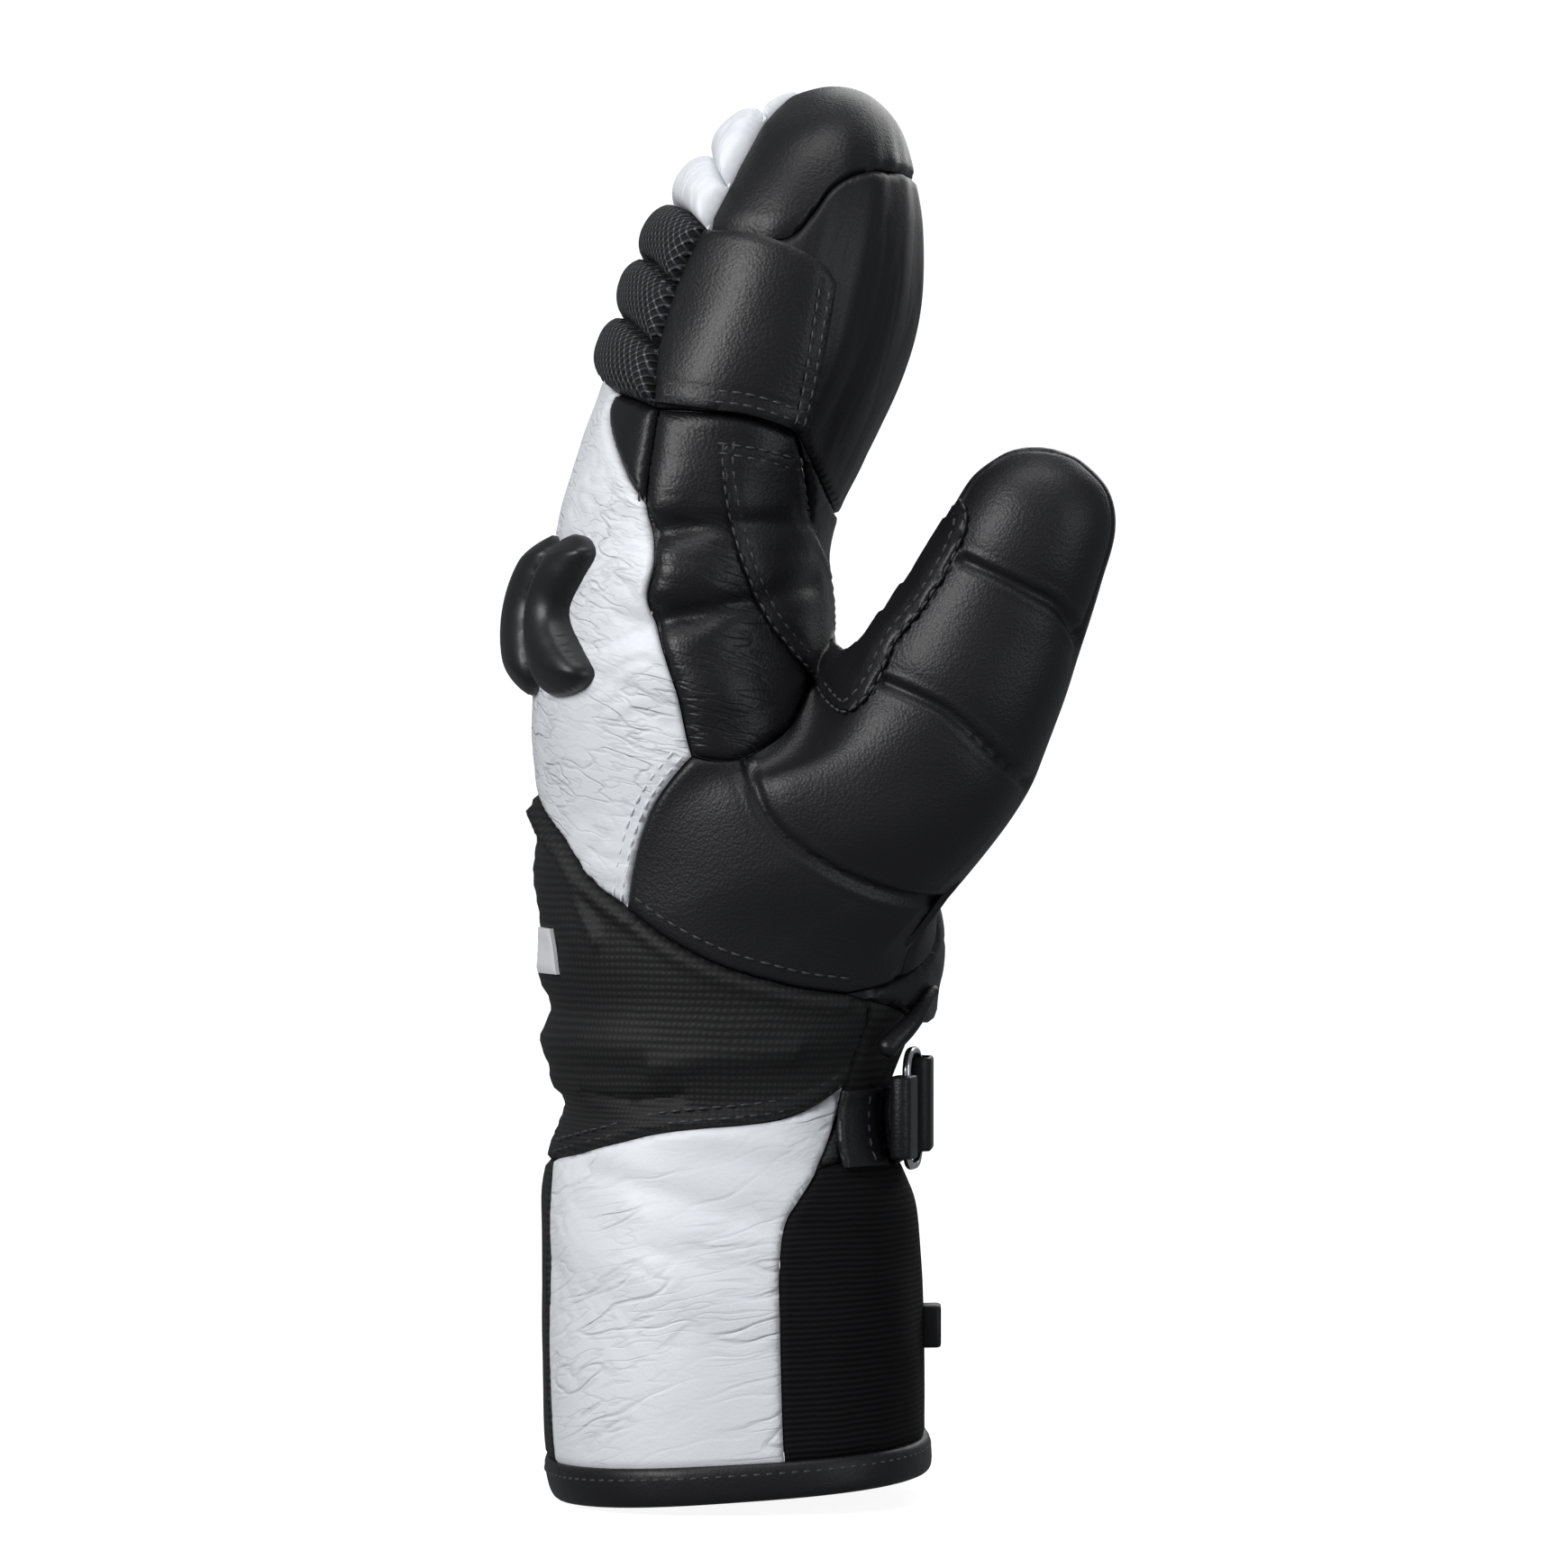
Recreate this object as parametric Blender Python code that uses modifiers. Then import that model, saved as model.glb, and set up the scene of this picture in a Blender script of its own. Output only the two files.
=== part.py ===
"""Mitten-style ski glove for the left hand, standing as worn with its cuff down and its thumb towards -Y.

Metres, +Z up, palm towards +X. The origin is the centre of the cuff's mouth, where the wrist goes in. The hand's
body is one smooth tube through a table of sections; each panel is cut out of it along named seams and given a
wall, and the thumb grows out of a ring of seams on its side.
"""

import math

import bmesh
import bpy
from mathutils import Vector
from mathutils.geometry import delaunay_2d_cdt

# Driving sizes of the body: length of each stretch, then its depth (back to palm) and width (thumb side to far side).
CUFF_LENGTH = 0.0813
PALM_LENGTH = 0.1224
FINGER_LENGTH = 0.0893
CUFF_DEPTH = 0.080
CUFF_WIDTH = 0.094
WRIST_DEPTH = 0.069
WRIST_WIDTH = 0.080
PALM_DEPTH = 0.064
PALM_WIDTH = 0.100
FINGER_DEPTH = 0.057
FINGER_WIDTH = 0.094

# Thumb: free length above the web, depth in the side view, width across it, and how far its middle stands to the side.
THUMB_LENGTH = 0.0595
THUMB_DEPTH = 0.0352
THUMB_WIDTH = 0.034
THUMB_SIDE = 0.036
THUMB_LEAN = 20.5

# Walls and clearances.
WALL = 0.0022
PATCH = 0.0013
GAP = 0.0004
SEAT = 0.0009
HEM_WALL = 0.0034
HEM_PROUD = 0.0009

# Trim and fittings.
ROLL_HEIGHT = 0.0042
ROLL_SHOULDER = 0.0058
GUARD_HEIGHT = 0.0064
STRAP_WIDTH = 0.0172
RING_HEIGHT = 0.0238
RING_REACH = 0.0125
RING_WIRE = 0.0018
KEEPER_REACH = 0.0145
KEEPER_DEPTH = 0.0056
KEEPER_PLAY = 0.0010
KEEPER_HEIGHT = 0.0196
KEEPER_WALL = 0.0011
PIPING_WIDTH = 0.0056
PIPING_LIFT = 0.0009
PULL_TAB_HEIGHT = 0.0089
PULL_TAB_WIDTH = 0.0100
PULL_TAB_REACH = 0.0028

# Where the strap lies along the body, where its outer ends are sewn in, where its keeper sits, and how the ring
# leans out of the keeper, in degrees. Corners are shares of the fitting's own size.
STRAP_ALONG = 0.930
STRAP_NEAR_LOW = 0.708
STRAP_NEAR_HIGH = 0.718
STRAP_FAR_LOW = 1.300
STRAP_FAR_HIGH = 1.285
KEEPER_ALONG = 0.982
KEEPER_AROUND = 0.965
RING_TILT = 9.0
RING_DROP = 0.0006
RING_CLEAR = 0.0003
RING_CORNER = 0.36
KEEPER_CORNER = 0.46

# Spacing of the facets, in metres: along seams and inside plain panels, and inside padded ones.
SEAM_STEP = 0.0068
PANEL_STEP = 0.0106
FOLD_STEP = 0.0080
ROLL_STEP = 0.0036

ZONES = {
    "cuff": (CUFF_DEPTH, CUFF_WIDTH),
    "wrist": (WRIST_DEPTH, WRIST_WIDTH),
    "palm": (PALM_DEPTH, PALM_WIDTH),
    "finger": (FINGER_DEPTH, FINGER_WIDTH),
}

# Sections of the body, up from the mouth. along: 0 to 1 up the cuff, 1 to 2 up the palm, 2 to 3 up the fingers.
# back and palm: the section's ends in X, and lean: its rise from back to palm, as shares of the zone's depth.
# width: share of the zone's width. full: exponent of the oval, 2 for an ellipse and more for a squarer one.
SECTION_COLUMNS = ("along", "zone", "back", "palm", "lean", "width", "full")
SECTION_ROWS = (
    (0.00, "cuff", -0.490, 0.485, 0.070, 1.00, 2.60),
    (0.14, "cuff", -0.520, 0.477, 0.050, 1.00, 2.60),
    (0.46, "cuff", -0.530, 0.473, 0.024, 0.98, 2.50),
    (0.70, "cuff", -0.527, 0.460, -0.012, 0.94, 2.40),
    (0.80, "cuff", -0.519, 0.424, -0.011, 0.91, 2.40),
    (0.87, "wrist", -0.587, 0.450, -0.011, 1.04, 2.40),
    (1.00, "wrist", -0.537, 0.442, -0.008, 1.00, 2.30),
    (1.10, "palm", -0.632, 0.545, -0.015, 0.86, 2.30),
    (1.19, "palm", -0.662, 0.655, -0.015, 0.92, 2.20),
    (1.32, "palm", -0.668, 0.655, -0.030, 0.97, 2.20),
    (1.47, "palm", -0.677, 0.520, -0.059, 0.99, 2.20),
    (1.62, "palm", -0.698, 0.370, -0.089, 1.00, 2.20),
    (1.78, "palm", -0.674, 0.303, -0.089, 1.00, 2.20),
    (1.90, "palm", -0.626, 0.288, -0.095, 0.98, 2.20),
    (2.00, "finger", -0.657, 0.340, -0.120, 1.02, 2.20),
    (2.19, "finger", -0.543, 0.450, -0.220, 1.00, 2.20),
    (2.38, "finger", -0.423, 0.583, -0.250, 0.98, 2.20),
    (2.55, "finger", -0.327, 0.657, -0.227, 0.95, 2.20),
    (2.71, "finger", -0.177, 0.663, -0.183, 0.87, 2.20),
    (2.84, "finger", -0.010, 0.630, -0.143, 0.73, 2.15),
    (2.93, "finger", 0.137, 0.583, -0.093, 0.52, 2.05),
    (2.98, "finger", 0.257, 0.483, -0.033, 0.28, 2.00),
    (3.00, "finger", 0.363, 0.370, 0.000, 0.006, 2.00),
)

# Folds and dents of the body's skin: centre along and around, reach along and around, slope (along per around),
# height as a share of a wall. around: 0 the middle of the back, 0.5 the thumb side, 1 the middle of the palm.
FOLD_COLUMNS = ("along", "around", "reach", "spread", "slope", "height")
FOLD_ROWS = (
    (1.215, 0.00, 0.045, 0.34, -0.10, 0.60),
    (1.152, 0.10, 0.034, 0.34, 0.05, -0.90),
    (1.090, 0.12, 0.036, 0.34, 0.00, 0.85),
    (1.025, 0.10, 0.034, 0.32, 0.00, -0.60),
    (1.310, 0.13, 0.045, 0.15, -0.45, 0.70),
    (1.110, 0.60, 0.034, 0.13, 0.00, 0.50),
    (1.950, 0.46, 0.030, 0.09, 0.15, -0.75),
    (1.805, 0.49, 0.030, 0.11, 0.25, -0.85),
    (1.880, 0.50, 0.045, 0.10, 0.00, 0.45),
    (1.690, 0.58, 0.050, 0.11, 0.00, 0.50),
    (0.930, 0.45, 0.040, 0.30, -0.25, 0.40),
    (0.760, 0.42, 0.040, 0.24, -0.40, -0.40),
    (0.560, 0.38, 0.070, 0.30, -0.50, 0.35),
)

# Seams on the body, each a row of (along, around) points from one meeting point of panels to the next.
SEAMS = {
    "hem_back": ((0.085, -0.120), (0.085, 0.0), (0.085, 0.120)),
    "hem_near": ((0.085, 0.120), (0.085, 0.335), (0.085, 0.555)),
    "hem_palm": ((0.085, 0.555), (0.085, 0.80), (0.085, 1.0), (0.085, 1.20), (0.085, 1.445)),
    "cuff_back": ((0.085, 0.120), (0.386, 0.107), (0.627, 0.115), (0.834, 0.109)),
    "cuff_palm": ((0.085, 0.555), (0.480, 0.558), (0.608, 0.563), (0.693, 0.575), (0.749, 0.600), (0.835, 0.661)),
    "wrist_low": ((0.835, 0.661), (0.887, 0.695), (0.956, 0.727), (1.024, 0.738)),
    "wrist_high": ((1.024, 0.738), (1.068, 0.740), (1.122, 0.736), (1.168, 0.713)),
    "cuff_top": (
        (0.834, 0.109), (0.880, 0.276), (0.916, 0.381), (0.943, 0.512), (0.960, 0.595), (0.990, 0.675), (1.024, 0.738),
    ),
    "cuff_top_back": ((0.834, -0.109), (0.824, 0.0), (0.834, 0.109)),
    "gusset_top": ((0.835, 0.661), (0.858, 0.80), (0.865, 1.0), (0.858, 1.20), (0.835, 1.339)),
    "low_back": (
        (1.319, -0.324), (1.370, -0.240), (1.440, -0.160), (1.500, 0.0), (1.440, 0.160), (1.370, 0.240), (1.319, 0.324),
    ),
    "low_side": ((1.319, 0.324), (1.275, 0.386), (1.235, 0.456), (1.209, 0.514)),
    "low_thumb": ((1.209, 0.514), (1.190, 0.582), (1.180, 0.662)),
    "low_notch": ((1.180, 0.662), (1.168, 0.713)),
    "low_palm": (
        (1.168, 0.713), (1.150, 0.804), (1.128, 0.90), (1.118, 1.0), (1.128, 1.10), (1.150, 1.196), (1.168, 1.287),
    ),
    "back_edge_low": ((1.319, 0.324), (1.386, 0.346), (1.443, 0.373), (1.500, 0.414), (1.576, 0.494)),
    "back_edge_high": (
        (1.576, 0.494), (1.657, 0.491), (1.707, 0.479), (1.784, 0.450), (1.835, 0.425), (1.900, 0.430), (1.987, 0.387),
    ),
    "insert_left": ((1.987, 0.387), (2.049, 0.300), (2.150, 0.180), (2.205, 0.173)),
    "insert_top": ((2.205, 0.173), (2.196, 0.250), (2.184, 0.333)),
    "insert_right": ((1.987, 0.387), (2.062, 0.365), (2.184, 0.333)),
    "index_top": ((2.184, 0.333), (2.198, 0.465), (2.206, 0.560), (2.193, 0.658)),
    "index_right": ((2.193, 0.658), (2.120, 0.720), (2.010, 0.800), (1.900, 0.840), (1.770, 0.830)),
    "index_low": (
        (1.770, 0.830), (1.712, 0.790), (1.643, 0.710), (1.600, 0.627), (1.576, 0.572), (1.570, 0.530), (1.576, 0.494),
    ),
    "finger_crease": (
        (2.193, 0.658), (2.130, 0.740), (2.060, 0.860), (2.030, 1.0), (2.060, 1.140), (2.130, 1.260), (2.193, 1.342),
    ),
    "thumb_hidden": (
        (1.180, 0.662), (1.200, 0.760), (1.240, 0.850), (1.300, 0.910), (1.420, 0.950), (1.560, 0.960),
        (1.680, 0.945), (1.755, 0.915), (1.785, 0.870), (1.770, 0.830),
    ),
    "far_back_edge": ((1.319, 1.676), (1.450, 1.640), (1.620, 1.600), (1.800, 1.585), (2.000, 1.610), (2.184, 1.667)),
    "far_palm_edge": ((1.209, 1.486), (1.400, 1.430), (1.620, 1.400), (1.850, 1.390), (2.040, 1.375), (2.193, 1.342)),
    "knuckle_top": ((2.184, -0.333), (2.215, -0.20), (2.240, 0.0), (2.230, 0.100), (2.205, 0.173)),
    "roll_edge_1": ((2.184, 0.333), (2.303, 0.288)),
    "roll_edge_2": ((2.303, 0.288), (2.444, 0.274)),
    "roll_edge_3": ((2.444, 0.274), (2.586, 0.292)),
    "valley_1": ((2.303, -0.288), (2.350, -0.16), (2.375, 0.0), (2.350, 0.16), (2.303, 0.288)),
    "valley_2": ((2.444, -0.274), (2.495, -0.16), (2.515, 0.0), (2.495, 0.16), (2.444, 0.274)),
    "valley_3": ((2.586, -0.292), (2.630, -0.17), (2.650, 0.0), (2.630, 0.17), (2.586, 0.292)),
    "cap_edge_1": ((2.586, 0.292), (2.690, 0.285)),
    "cap_edge_2": ((2.690, 0.285), (2.790, 0.255), (2.860, 0.200)),
    "valley_4": ((2.690, -0.285), (2.755, -0.14), (2.775, 0.0), (2.755, 0.14), (2.690, 0.285)),
    "valley_5": ((2.860, -0.200), (2.890, -0.10), (2.900, 0.0), (2.890, 0.10), (2.860, 0.200)),
    "cap_back": ((2.860, -0.200), (2.925, -0.13), (2.966, 0.0), (2.925, 0.13), (2.860, 0.200)),
    "cap_seam": (
        (2.586, 0.292), (2.592, 0.400), (2.605, 0.485), (2.675, 0.520), (2.739, 0.550), (2.781, 0.610), (2.808, 0.711),
        (2.823, 0.850), (2.828, 1.0), (2.823, 1.150), (2.808, 1.289), (2.781, 1.390), (2.739, 1.450), (2.675, 1.480),
        (2.605, 1.515), (2.592, 1.600), (2.586, 1.708),
    ),
}

# Closed outlines of the patches that lie on the panels, corners first, as (along, around).
SIDE_PATCH = (
    ((2.579, 0.300), (2.591, 0.415), (2.583, 0.494), (2.560, 0.564), (2.527, 0.603)),
    ((2.527, 0.603), (2.393, 0.621), (2.248, 0.654), (2.197, 0.660)),
    ((2.197, 0.660), (2.206, 0.532), (2.198, 0.465), (2.190, 0.345)),
    ((2.190, 0.345), (2.308, 0.300), (2.424, 0.286), (2.579, 0.300)),
)
WEB_PATCH = (
    ((2.140, 0.493), (2.147, 0.560), (2.153, 0.688)),
    ((2.153, 0.688), (2.012, 0.792), (1.930, 0.865), (1.860, 0.890), (1.812, 0.870)),
    ((1.812, 0.870), (1.800, 0.835), (1.745, 0.780)),
    ((1.745, 0.780), (1.767, 0.710), (1.826, 0.642), (1.915, 0.584), (1.994, 0.544), (2.083, 0.508), (2.140, 0.493)),
)

WRIST_TAB = (
    ((1.205, 0.075), (1.205, 0.165)),
    ((1.205, 0.165), (1.282, 0.160)),
    ((1.282, 0.160), (1.282, 0.080)),
    ((1.282, 0.080), (1.205, 0.075)),
)
# Where the pull tab sits on the gusset.
PULL_TAB_PLACE = (0.385, 0.985)

# A knuckle guard's edges: along, then its thumb-side and far-side edges as offsets around from its middle line.
# prong: how much further the thumb-side edge reaches on the outermost guards.
GUARD_COLUMNS = ("along", "near", "far", "prong")
GUARD_ROWS = (
    (1.662, 0.015, -0.015, 0.020),
    (1.680, 0.045, -0.036, 0.045),
    (1.710, 0.050, -0.048, 0.050),
    (1.759, 0.040, -0.058, 0.008),
    (1.805, 0.030, -0.060, -0.010),
    (1.857, 0.036, -0.056, 0.012),
    (1.900, 0.040, -0.044, 0.030),
    (1.925, 0.012, -0.020, 0.020),
)
GUARD_PLACES = ((0.215, 1, 1.0), (0.074, 1, 0.1), (-0.074, -1, 0.1), (-0.215, -1, 1.0))

# Sections of the free thumb, from the web to the tip. along and aside: the middle, and depth: the reach from its inner
# to its outer edge, as shares of the thumb's length and depth. lean: the section's tilt in degrees below level.
THUMB_COLUMNS = ("along", "aside", "depth", "lean", "width", "side")
THUMB_ROWS = (
    (0.000, 0.000, 1.300, 27.0, 1.220, 0.92),
    (0.200, 0.023, 1.220, 21.0, 1.120, 0.97),
    (0.400, 0.044, 1.110, 16.5, 1.030, 1.00),
    (0.600, 0.062, 1.015, 15.0, 0.980, 1.03),
    (0.770, 0.065, 0.940, 10.5, 0.920, 1.04),
    (0.885, 0.045, 0.790, 7.0, 0.770, 1.04),
    (0.960, 0.018, 0.500, 5.0, 0.500, 1.04),
    (0.990, 0.004, 0.250, 5.0, 0.250, 1.04),
    (1.000, 0.000, 0.004, 5.0, 0.004, 1.04),
)
# Where the thumb's first section sits on the palm, as shares: its middle in X of the palm's depth, and its height
# up the palm's length.
THUMB_ROOT_X = 0.632
THUMB_ROOT_ALONG = 1.640

# Fullness of the thumb's sections, an exponent as for the body's.
THUMB_FULL = 2.15

# How the ring's seams turn round the thumb, in degrees: 0 its outer edge, 90 the side seen, 180 the edge to the finger.
RING_COLUMNS = ("seam", "from", "to")
RING_ROWS = (
    ("index_low", 158.0, 112.0),
    ("-back_edge_low", 112.0, 78.0),
    ("low_side", 78.0, 42.0),
    ("low_thumb", 42.0, 22.0),
    ("thumb_hidden", 22.0, -202.0),
)
OUTER_TO = -6.0
# Rows of facets up the thumb: from the ring to the free thumb, on to its tip, and how many the outer panel covers whole.
THUMB_LOW_ROWS = 5
THUMB_FREE_ROWS = 7
THUMB_WHOLE_ROWS = 3
# The web's dip between finger and thumb, and how squarely the thumb's skin leaves the ring, by turn.
WEB_RISE = 1.1
WEB_DIP = 0.7
SQUARE_FROM = 94.0
SQUARE_OVER = 52.0
HIDDEN_SQUARENESS = 0.5
# How much the wall thins in the web's tight corner, the turn of that corner, and how narrow it is.
WEB_THIN = 0.6
WEB_TURN = 158.0
WEB_NARROW = 8

# Grooves pressed into the thumb's padding: the height up the thumb at its inner and outer edges, from the ring (-1)
# over the web's level (0) to the tip (1), and depth as a share of a wall.
GROOVE_COLUMNS = ("inner", "outer", "bow", "depth")
GROOVE_ROWS = (
    (0.47, 0.33, 0.06, 0.60),
    (-0.02, -0.10, 0.10, 0.60),
    (-0.72, -0.62, 0.06, 0.60),
)
GROOVE_REACH = 0.055

# Looks: colour, roughness and, where it is metal, metallic value.
WHITE_LEATHER = ((0.80, 0.82, 0.86), 0.55)
BLACK_LEATHER = ((0.012, 0.012, 0.014), 0.42)
FINE_LEATHER = ((0.018, 0.018, 0.021), 0.40)
MATTE_LEATHER = ((0.016, 0.016, 0.018), 0.55)
BLACK_MESH = ((0.020, 0.020, 0.026), 0.75)
BLACK_STRETCH = ((0.009, 0.009, 0.010), 0.85)
BLACK_RIB = ((0.007, 0.007, 0.008), 0.90)
HARD_BLACK = ((0.015, 0.016, 0.018), 0.30)
STEEL = ((0.62, 0.62, 0.64), 0.25, 1.0)

# How a seam is taken: mirrored over the back's middle line, over the palm's, or once round the body.
BACK = -1
PALM = 2
ROUND = 1

# Short steps for slopes: in rows of sections, along and around.
ROW_SHIFT = 0.02
ALONG_SHIFT = 0.02
AROUND_SHIFT = 0.006
SMALLEST_SCALE = 0.05

PI = math.pi


def zone_height(along):
    if along < 1.0:
        return along * CUFF_LENGTH
    if along < 2.0:
        return CUFF_LENGTH + (along - 1.0) * PALM_LENGTH
    return CUFF_LENGTH + PALM_LENGTH + (along - 2.0) * FINGER_LENGTH


def section_table():
    """The rows in metres: along, height, back, palm, lean, half width, fullness."""
    table = []
    for along, zone, back, palm, lean, width, full in SECTION_ROWS:
        depth, breadth = ZONES[zone]
        table.append((along, zone_height(along), back * depth, palm * depth, lean * depth, width * breadth / 2, full))
    return table


def smooth_row(table, place):
    """The table read at a fractional row, with smooth curves through its rows."""
    last = len(table) - 1
    place = min(max(place, 0.0), float(last))
    low = min(int(place), last - 1)
    f = place - low
    p0, p1 = table[low], table[low + 1]
    before, after = table[max(low - 1, 0)], table[min(low + 2, last)]
    spread_0 = 2.0 if low > 0 else 1.0
    spread_1 = 2.0 if low + 2 <= last else 1.0
    h1 = 2 * f ** 3 - 3 * f * f + 1
    h2 = f ** 3 - 2 * f * f + f
    h3 = 3 * f * f - 2 * f ** 3
    h4 = f ** 3 - f * f
    return [
        h1 * p0[k] + h2 * (p1[k] - before[k]) / spread_0 + h3 * p1[k] + h4 * (after[k] - p0[k]) / spread_1
        for k in range(len(p0))
    ]


SECTIONS = section_table()


def section_place(along):
    """The fractional row at which the sections reach a place along the body."""
    low, high = 0.0, len(SECTIONS) - 1.0
    for _ in range(36):
        middle = (low + high) / 2
        if smooth_row(SECTIONS, middle)[0] < along:
            low = middle
        else:
            high = middle
    return (low + high) / 2


def oval_point(place, around):
    _, height, back, palm, lean, half_width, full = smooth_row(SECTIONS, place)
    c, s = math.cos(PI * around), math.sin(PI * around)
    across = (1 - math.copysign(abs(c) ** (2 / full), c)) / 2
    out = math.copysign(abs(s) ** (2 / full), s)
    return Vector((back + (palm - back) * across, -half_width * out, height + lean * (across - 0.5)))


def relief(along, around):
    """How far the folds raise the skin."""
    around = (around + 1.0) % 2.0 - 1.0
    total = 0.0
    for row_along, row_around, reach, spread, slope, share in FOLD_ROWS:
        for side in (1, -1):
            off = side * around - row_around
            rise = (along - row_along - slope * off) / reach
            total += share * WALL * math.exp(-rise * rise - (off / spread) ** 2) * (1.0 if row_around else 0.5)
    return total


def body_frame(along, around):
    """A point of the body's skin and its outward normal."""
    place = section_place(along)
    low, high = max(place - ROW_SHIFT, 0.0), min(place + ROW_SHIFT, len(SECTIONS) - 1.0001)
    up = oval_point(high, around) - oval_point(low, around)
    side = oval_point(place, around + AROUND_SHIFT) - oval_point(place, around - AROUND_SHIFT)
    normal = side.cross(up)
    if normal.length < 1e-12:
        normal = Vector((0, 0, 1))
    normal.normalize()
    return oval_point(place, around) + normal * relief(along, around), normal


def curve_through(rows, count):
    """A smooth curve through a few points of the flat pattern, read at evenly spaced places."""
    table = [tuple(row) for row in rows]
    last = len(table) - 1
    return [tuple(smooth_row(table, last * k / count)) for k in range(count + 1)]


def seam_length(rows):
    fine = curve_through(rows, 12 * (len(rows) - 1))
    points = [oval_point(section_place(a), r) for a, r in fine]
    return sum((q - p).length for p, q in zip(points, points[1:]))


SEAM_CACHE = {}


def seam(name, side=0):
    """A seam's points in the flat pattern. A leading minus runs it backwards. side 0 takes it as written."""
    backwards = name.startswith("-")
    key = name.lstrip("-")
    if key not in SEAM_CACHE:
        rows = SEAMS[key]
        SEAM_CACHE[key] = curve_through(rows, max(2, round(seam_length(rows) / SEAM_STEP)))
    points = list(SEAM_CACHE[key])
    if side == BACK:
        points = [(a, -r) for a, r in points]
    elif side == PALM:
        points = [(a, 2.0 - r) for a, r in points]
    elif side == ROUND:
        points = [(a, r - 2.0) for a, r in points]
    return points[::-1] if backwards else points


def outline(*parts):
    """A closed outline from seams that meet end to end."""
    loop = []
    for part in parts:
        loop += seam(*part)[:-1] if isinstance(part, tuple) else seam(part)[:-1]
    return loop


def patch_outline(sides):
    loop = []
    for rows in sides:
        loop += curve_through(rows, max(2, round(seam_length(rows) / SEAM_STEP)))[:-1]
    return loop


def flat_scale(loop):
    """Metres per unit of the pattern near an outline: along it and around it."""
    along = sum(a for a, _ in loop) / len(loop)
    around = sum(r for _, r in loop) / len(loop)
    place = section_place(along)
    here = oval_point(place, around)
    rise = (oval_point(section_place(along + ALONG_SHIFT), around) - here).length / ALONG_SHIFT
    turn = (oval_point(place, around + ALONG_SHIFT) - here).length / ALONG_SHIFT
    return max(rise, SMALLEST_SCALE), max(turn, SMALLEST_SCALE)


def inside(point, loop):
    x, y = point
    found = False
    for (x1, y1), (x2, y2) in zip(loop, loop[1:] + loop[:1]):
        if (y1 > y) != (y2 > y) and x < (x2 - x1) * (y - y1) / (y2 - y1) + x1:
            found = not found
    return found


def edge_distance(point, loop):
    best = 1e9
    px, py = point
    for (x1, y1), (x2, y2) in zip(loop, loop[1:] + loop[:1]):
        dx, dy = x2 - x1, y2 - y1
        t = ((px - x1) * dx + (py - y1) * dy) / max(dx * dx + dy * dy, 1e-18)
        t = min(max(t, 0.0), 1.0)
        best = min(best, math.hypot(px - x1 - t * dx, py - y1 - t * dy))
    return best


def fill_pattern(loop, step):
    """Triangles over an outline of the pattern: its points, its faces and each point's distance from the edge."""
    rise, turn = flat_scale(loop)
    flat = [(r * turn, a * rise) for a, r in loop]
    xs, ys = [p[0] for p in flat], [p[1] for p in flat]
    points = list(flat)
    row, y = 0, min(ys) + step * 0.5
    while y < max(ys):
        x = min(xs) + step * (0.25 + 0.5 * (row % 2))
        while x < max(xs):
            if inside((x, y), flat) and edge_distance((x, y), flat) > 0.55 * step:
                points.append((x, y))
            x += step
        y += step * 0.87
        row += 1
    edges = [(k, (k + 1) % len(flat)) for k in range(len(flat))]
    found, _, faces, _, _, _ = delaunay_2d_cdt([Vector(p) for p in points], edges, [], 1, 1e-9)
    kept = [tuple(face) for face in faces]
    pattern = [(v.y / rise, v.x / turn) for v in found]
    depths = [edge_distance((v.x, v.y), flat) for v in found]
    return pattern, kept, depths


def rounded(share):
    """A pad's height from its edge (0) to its crown (1)."""
    share = min(max(share, 0.0), 1.0)
    return math.sqrt(max(1.0 - (1.0 - share) ** 2, 0.0))


def make_object(name, bm, colour, roughness, metallic=0.0):
    mesh = bpy.data.meshes.new(name)
    bm.normal_update()
    bmesh.ops.recalc_face_normals(bm, faces=bm.faces)
    bm.to_mesh(mesh)
    bm.free()
    obj = bpy.data.objects.new(name, mesh)
    COLLECTION.objects.link(obj)
    mesh.shade_smooth()
    mesh.set_sharp_from_angle(angle=math.radians(40))
    dress(obj, colour, roughness, metallic)
    return obj


def dress(obj, colour, roughness, metallic=0.0):
    material = bpy.data.materials.new(obj.name + "_material")
    material.use_nodes = True
    shader = material.node_tree.nodes["Principled BSDF"]
    shader.inputs["Base Color"].default_value = (*colour, 1.0)
    shader.inputs["Roughness"].default_value = roughness
    shader.inputs["Metallic"].default_value = metallic
    obj.data.materials.append(material)


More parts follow.
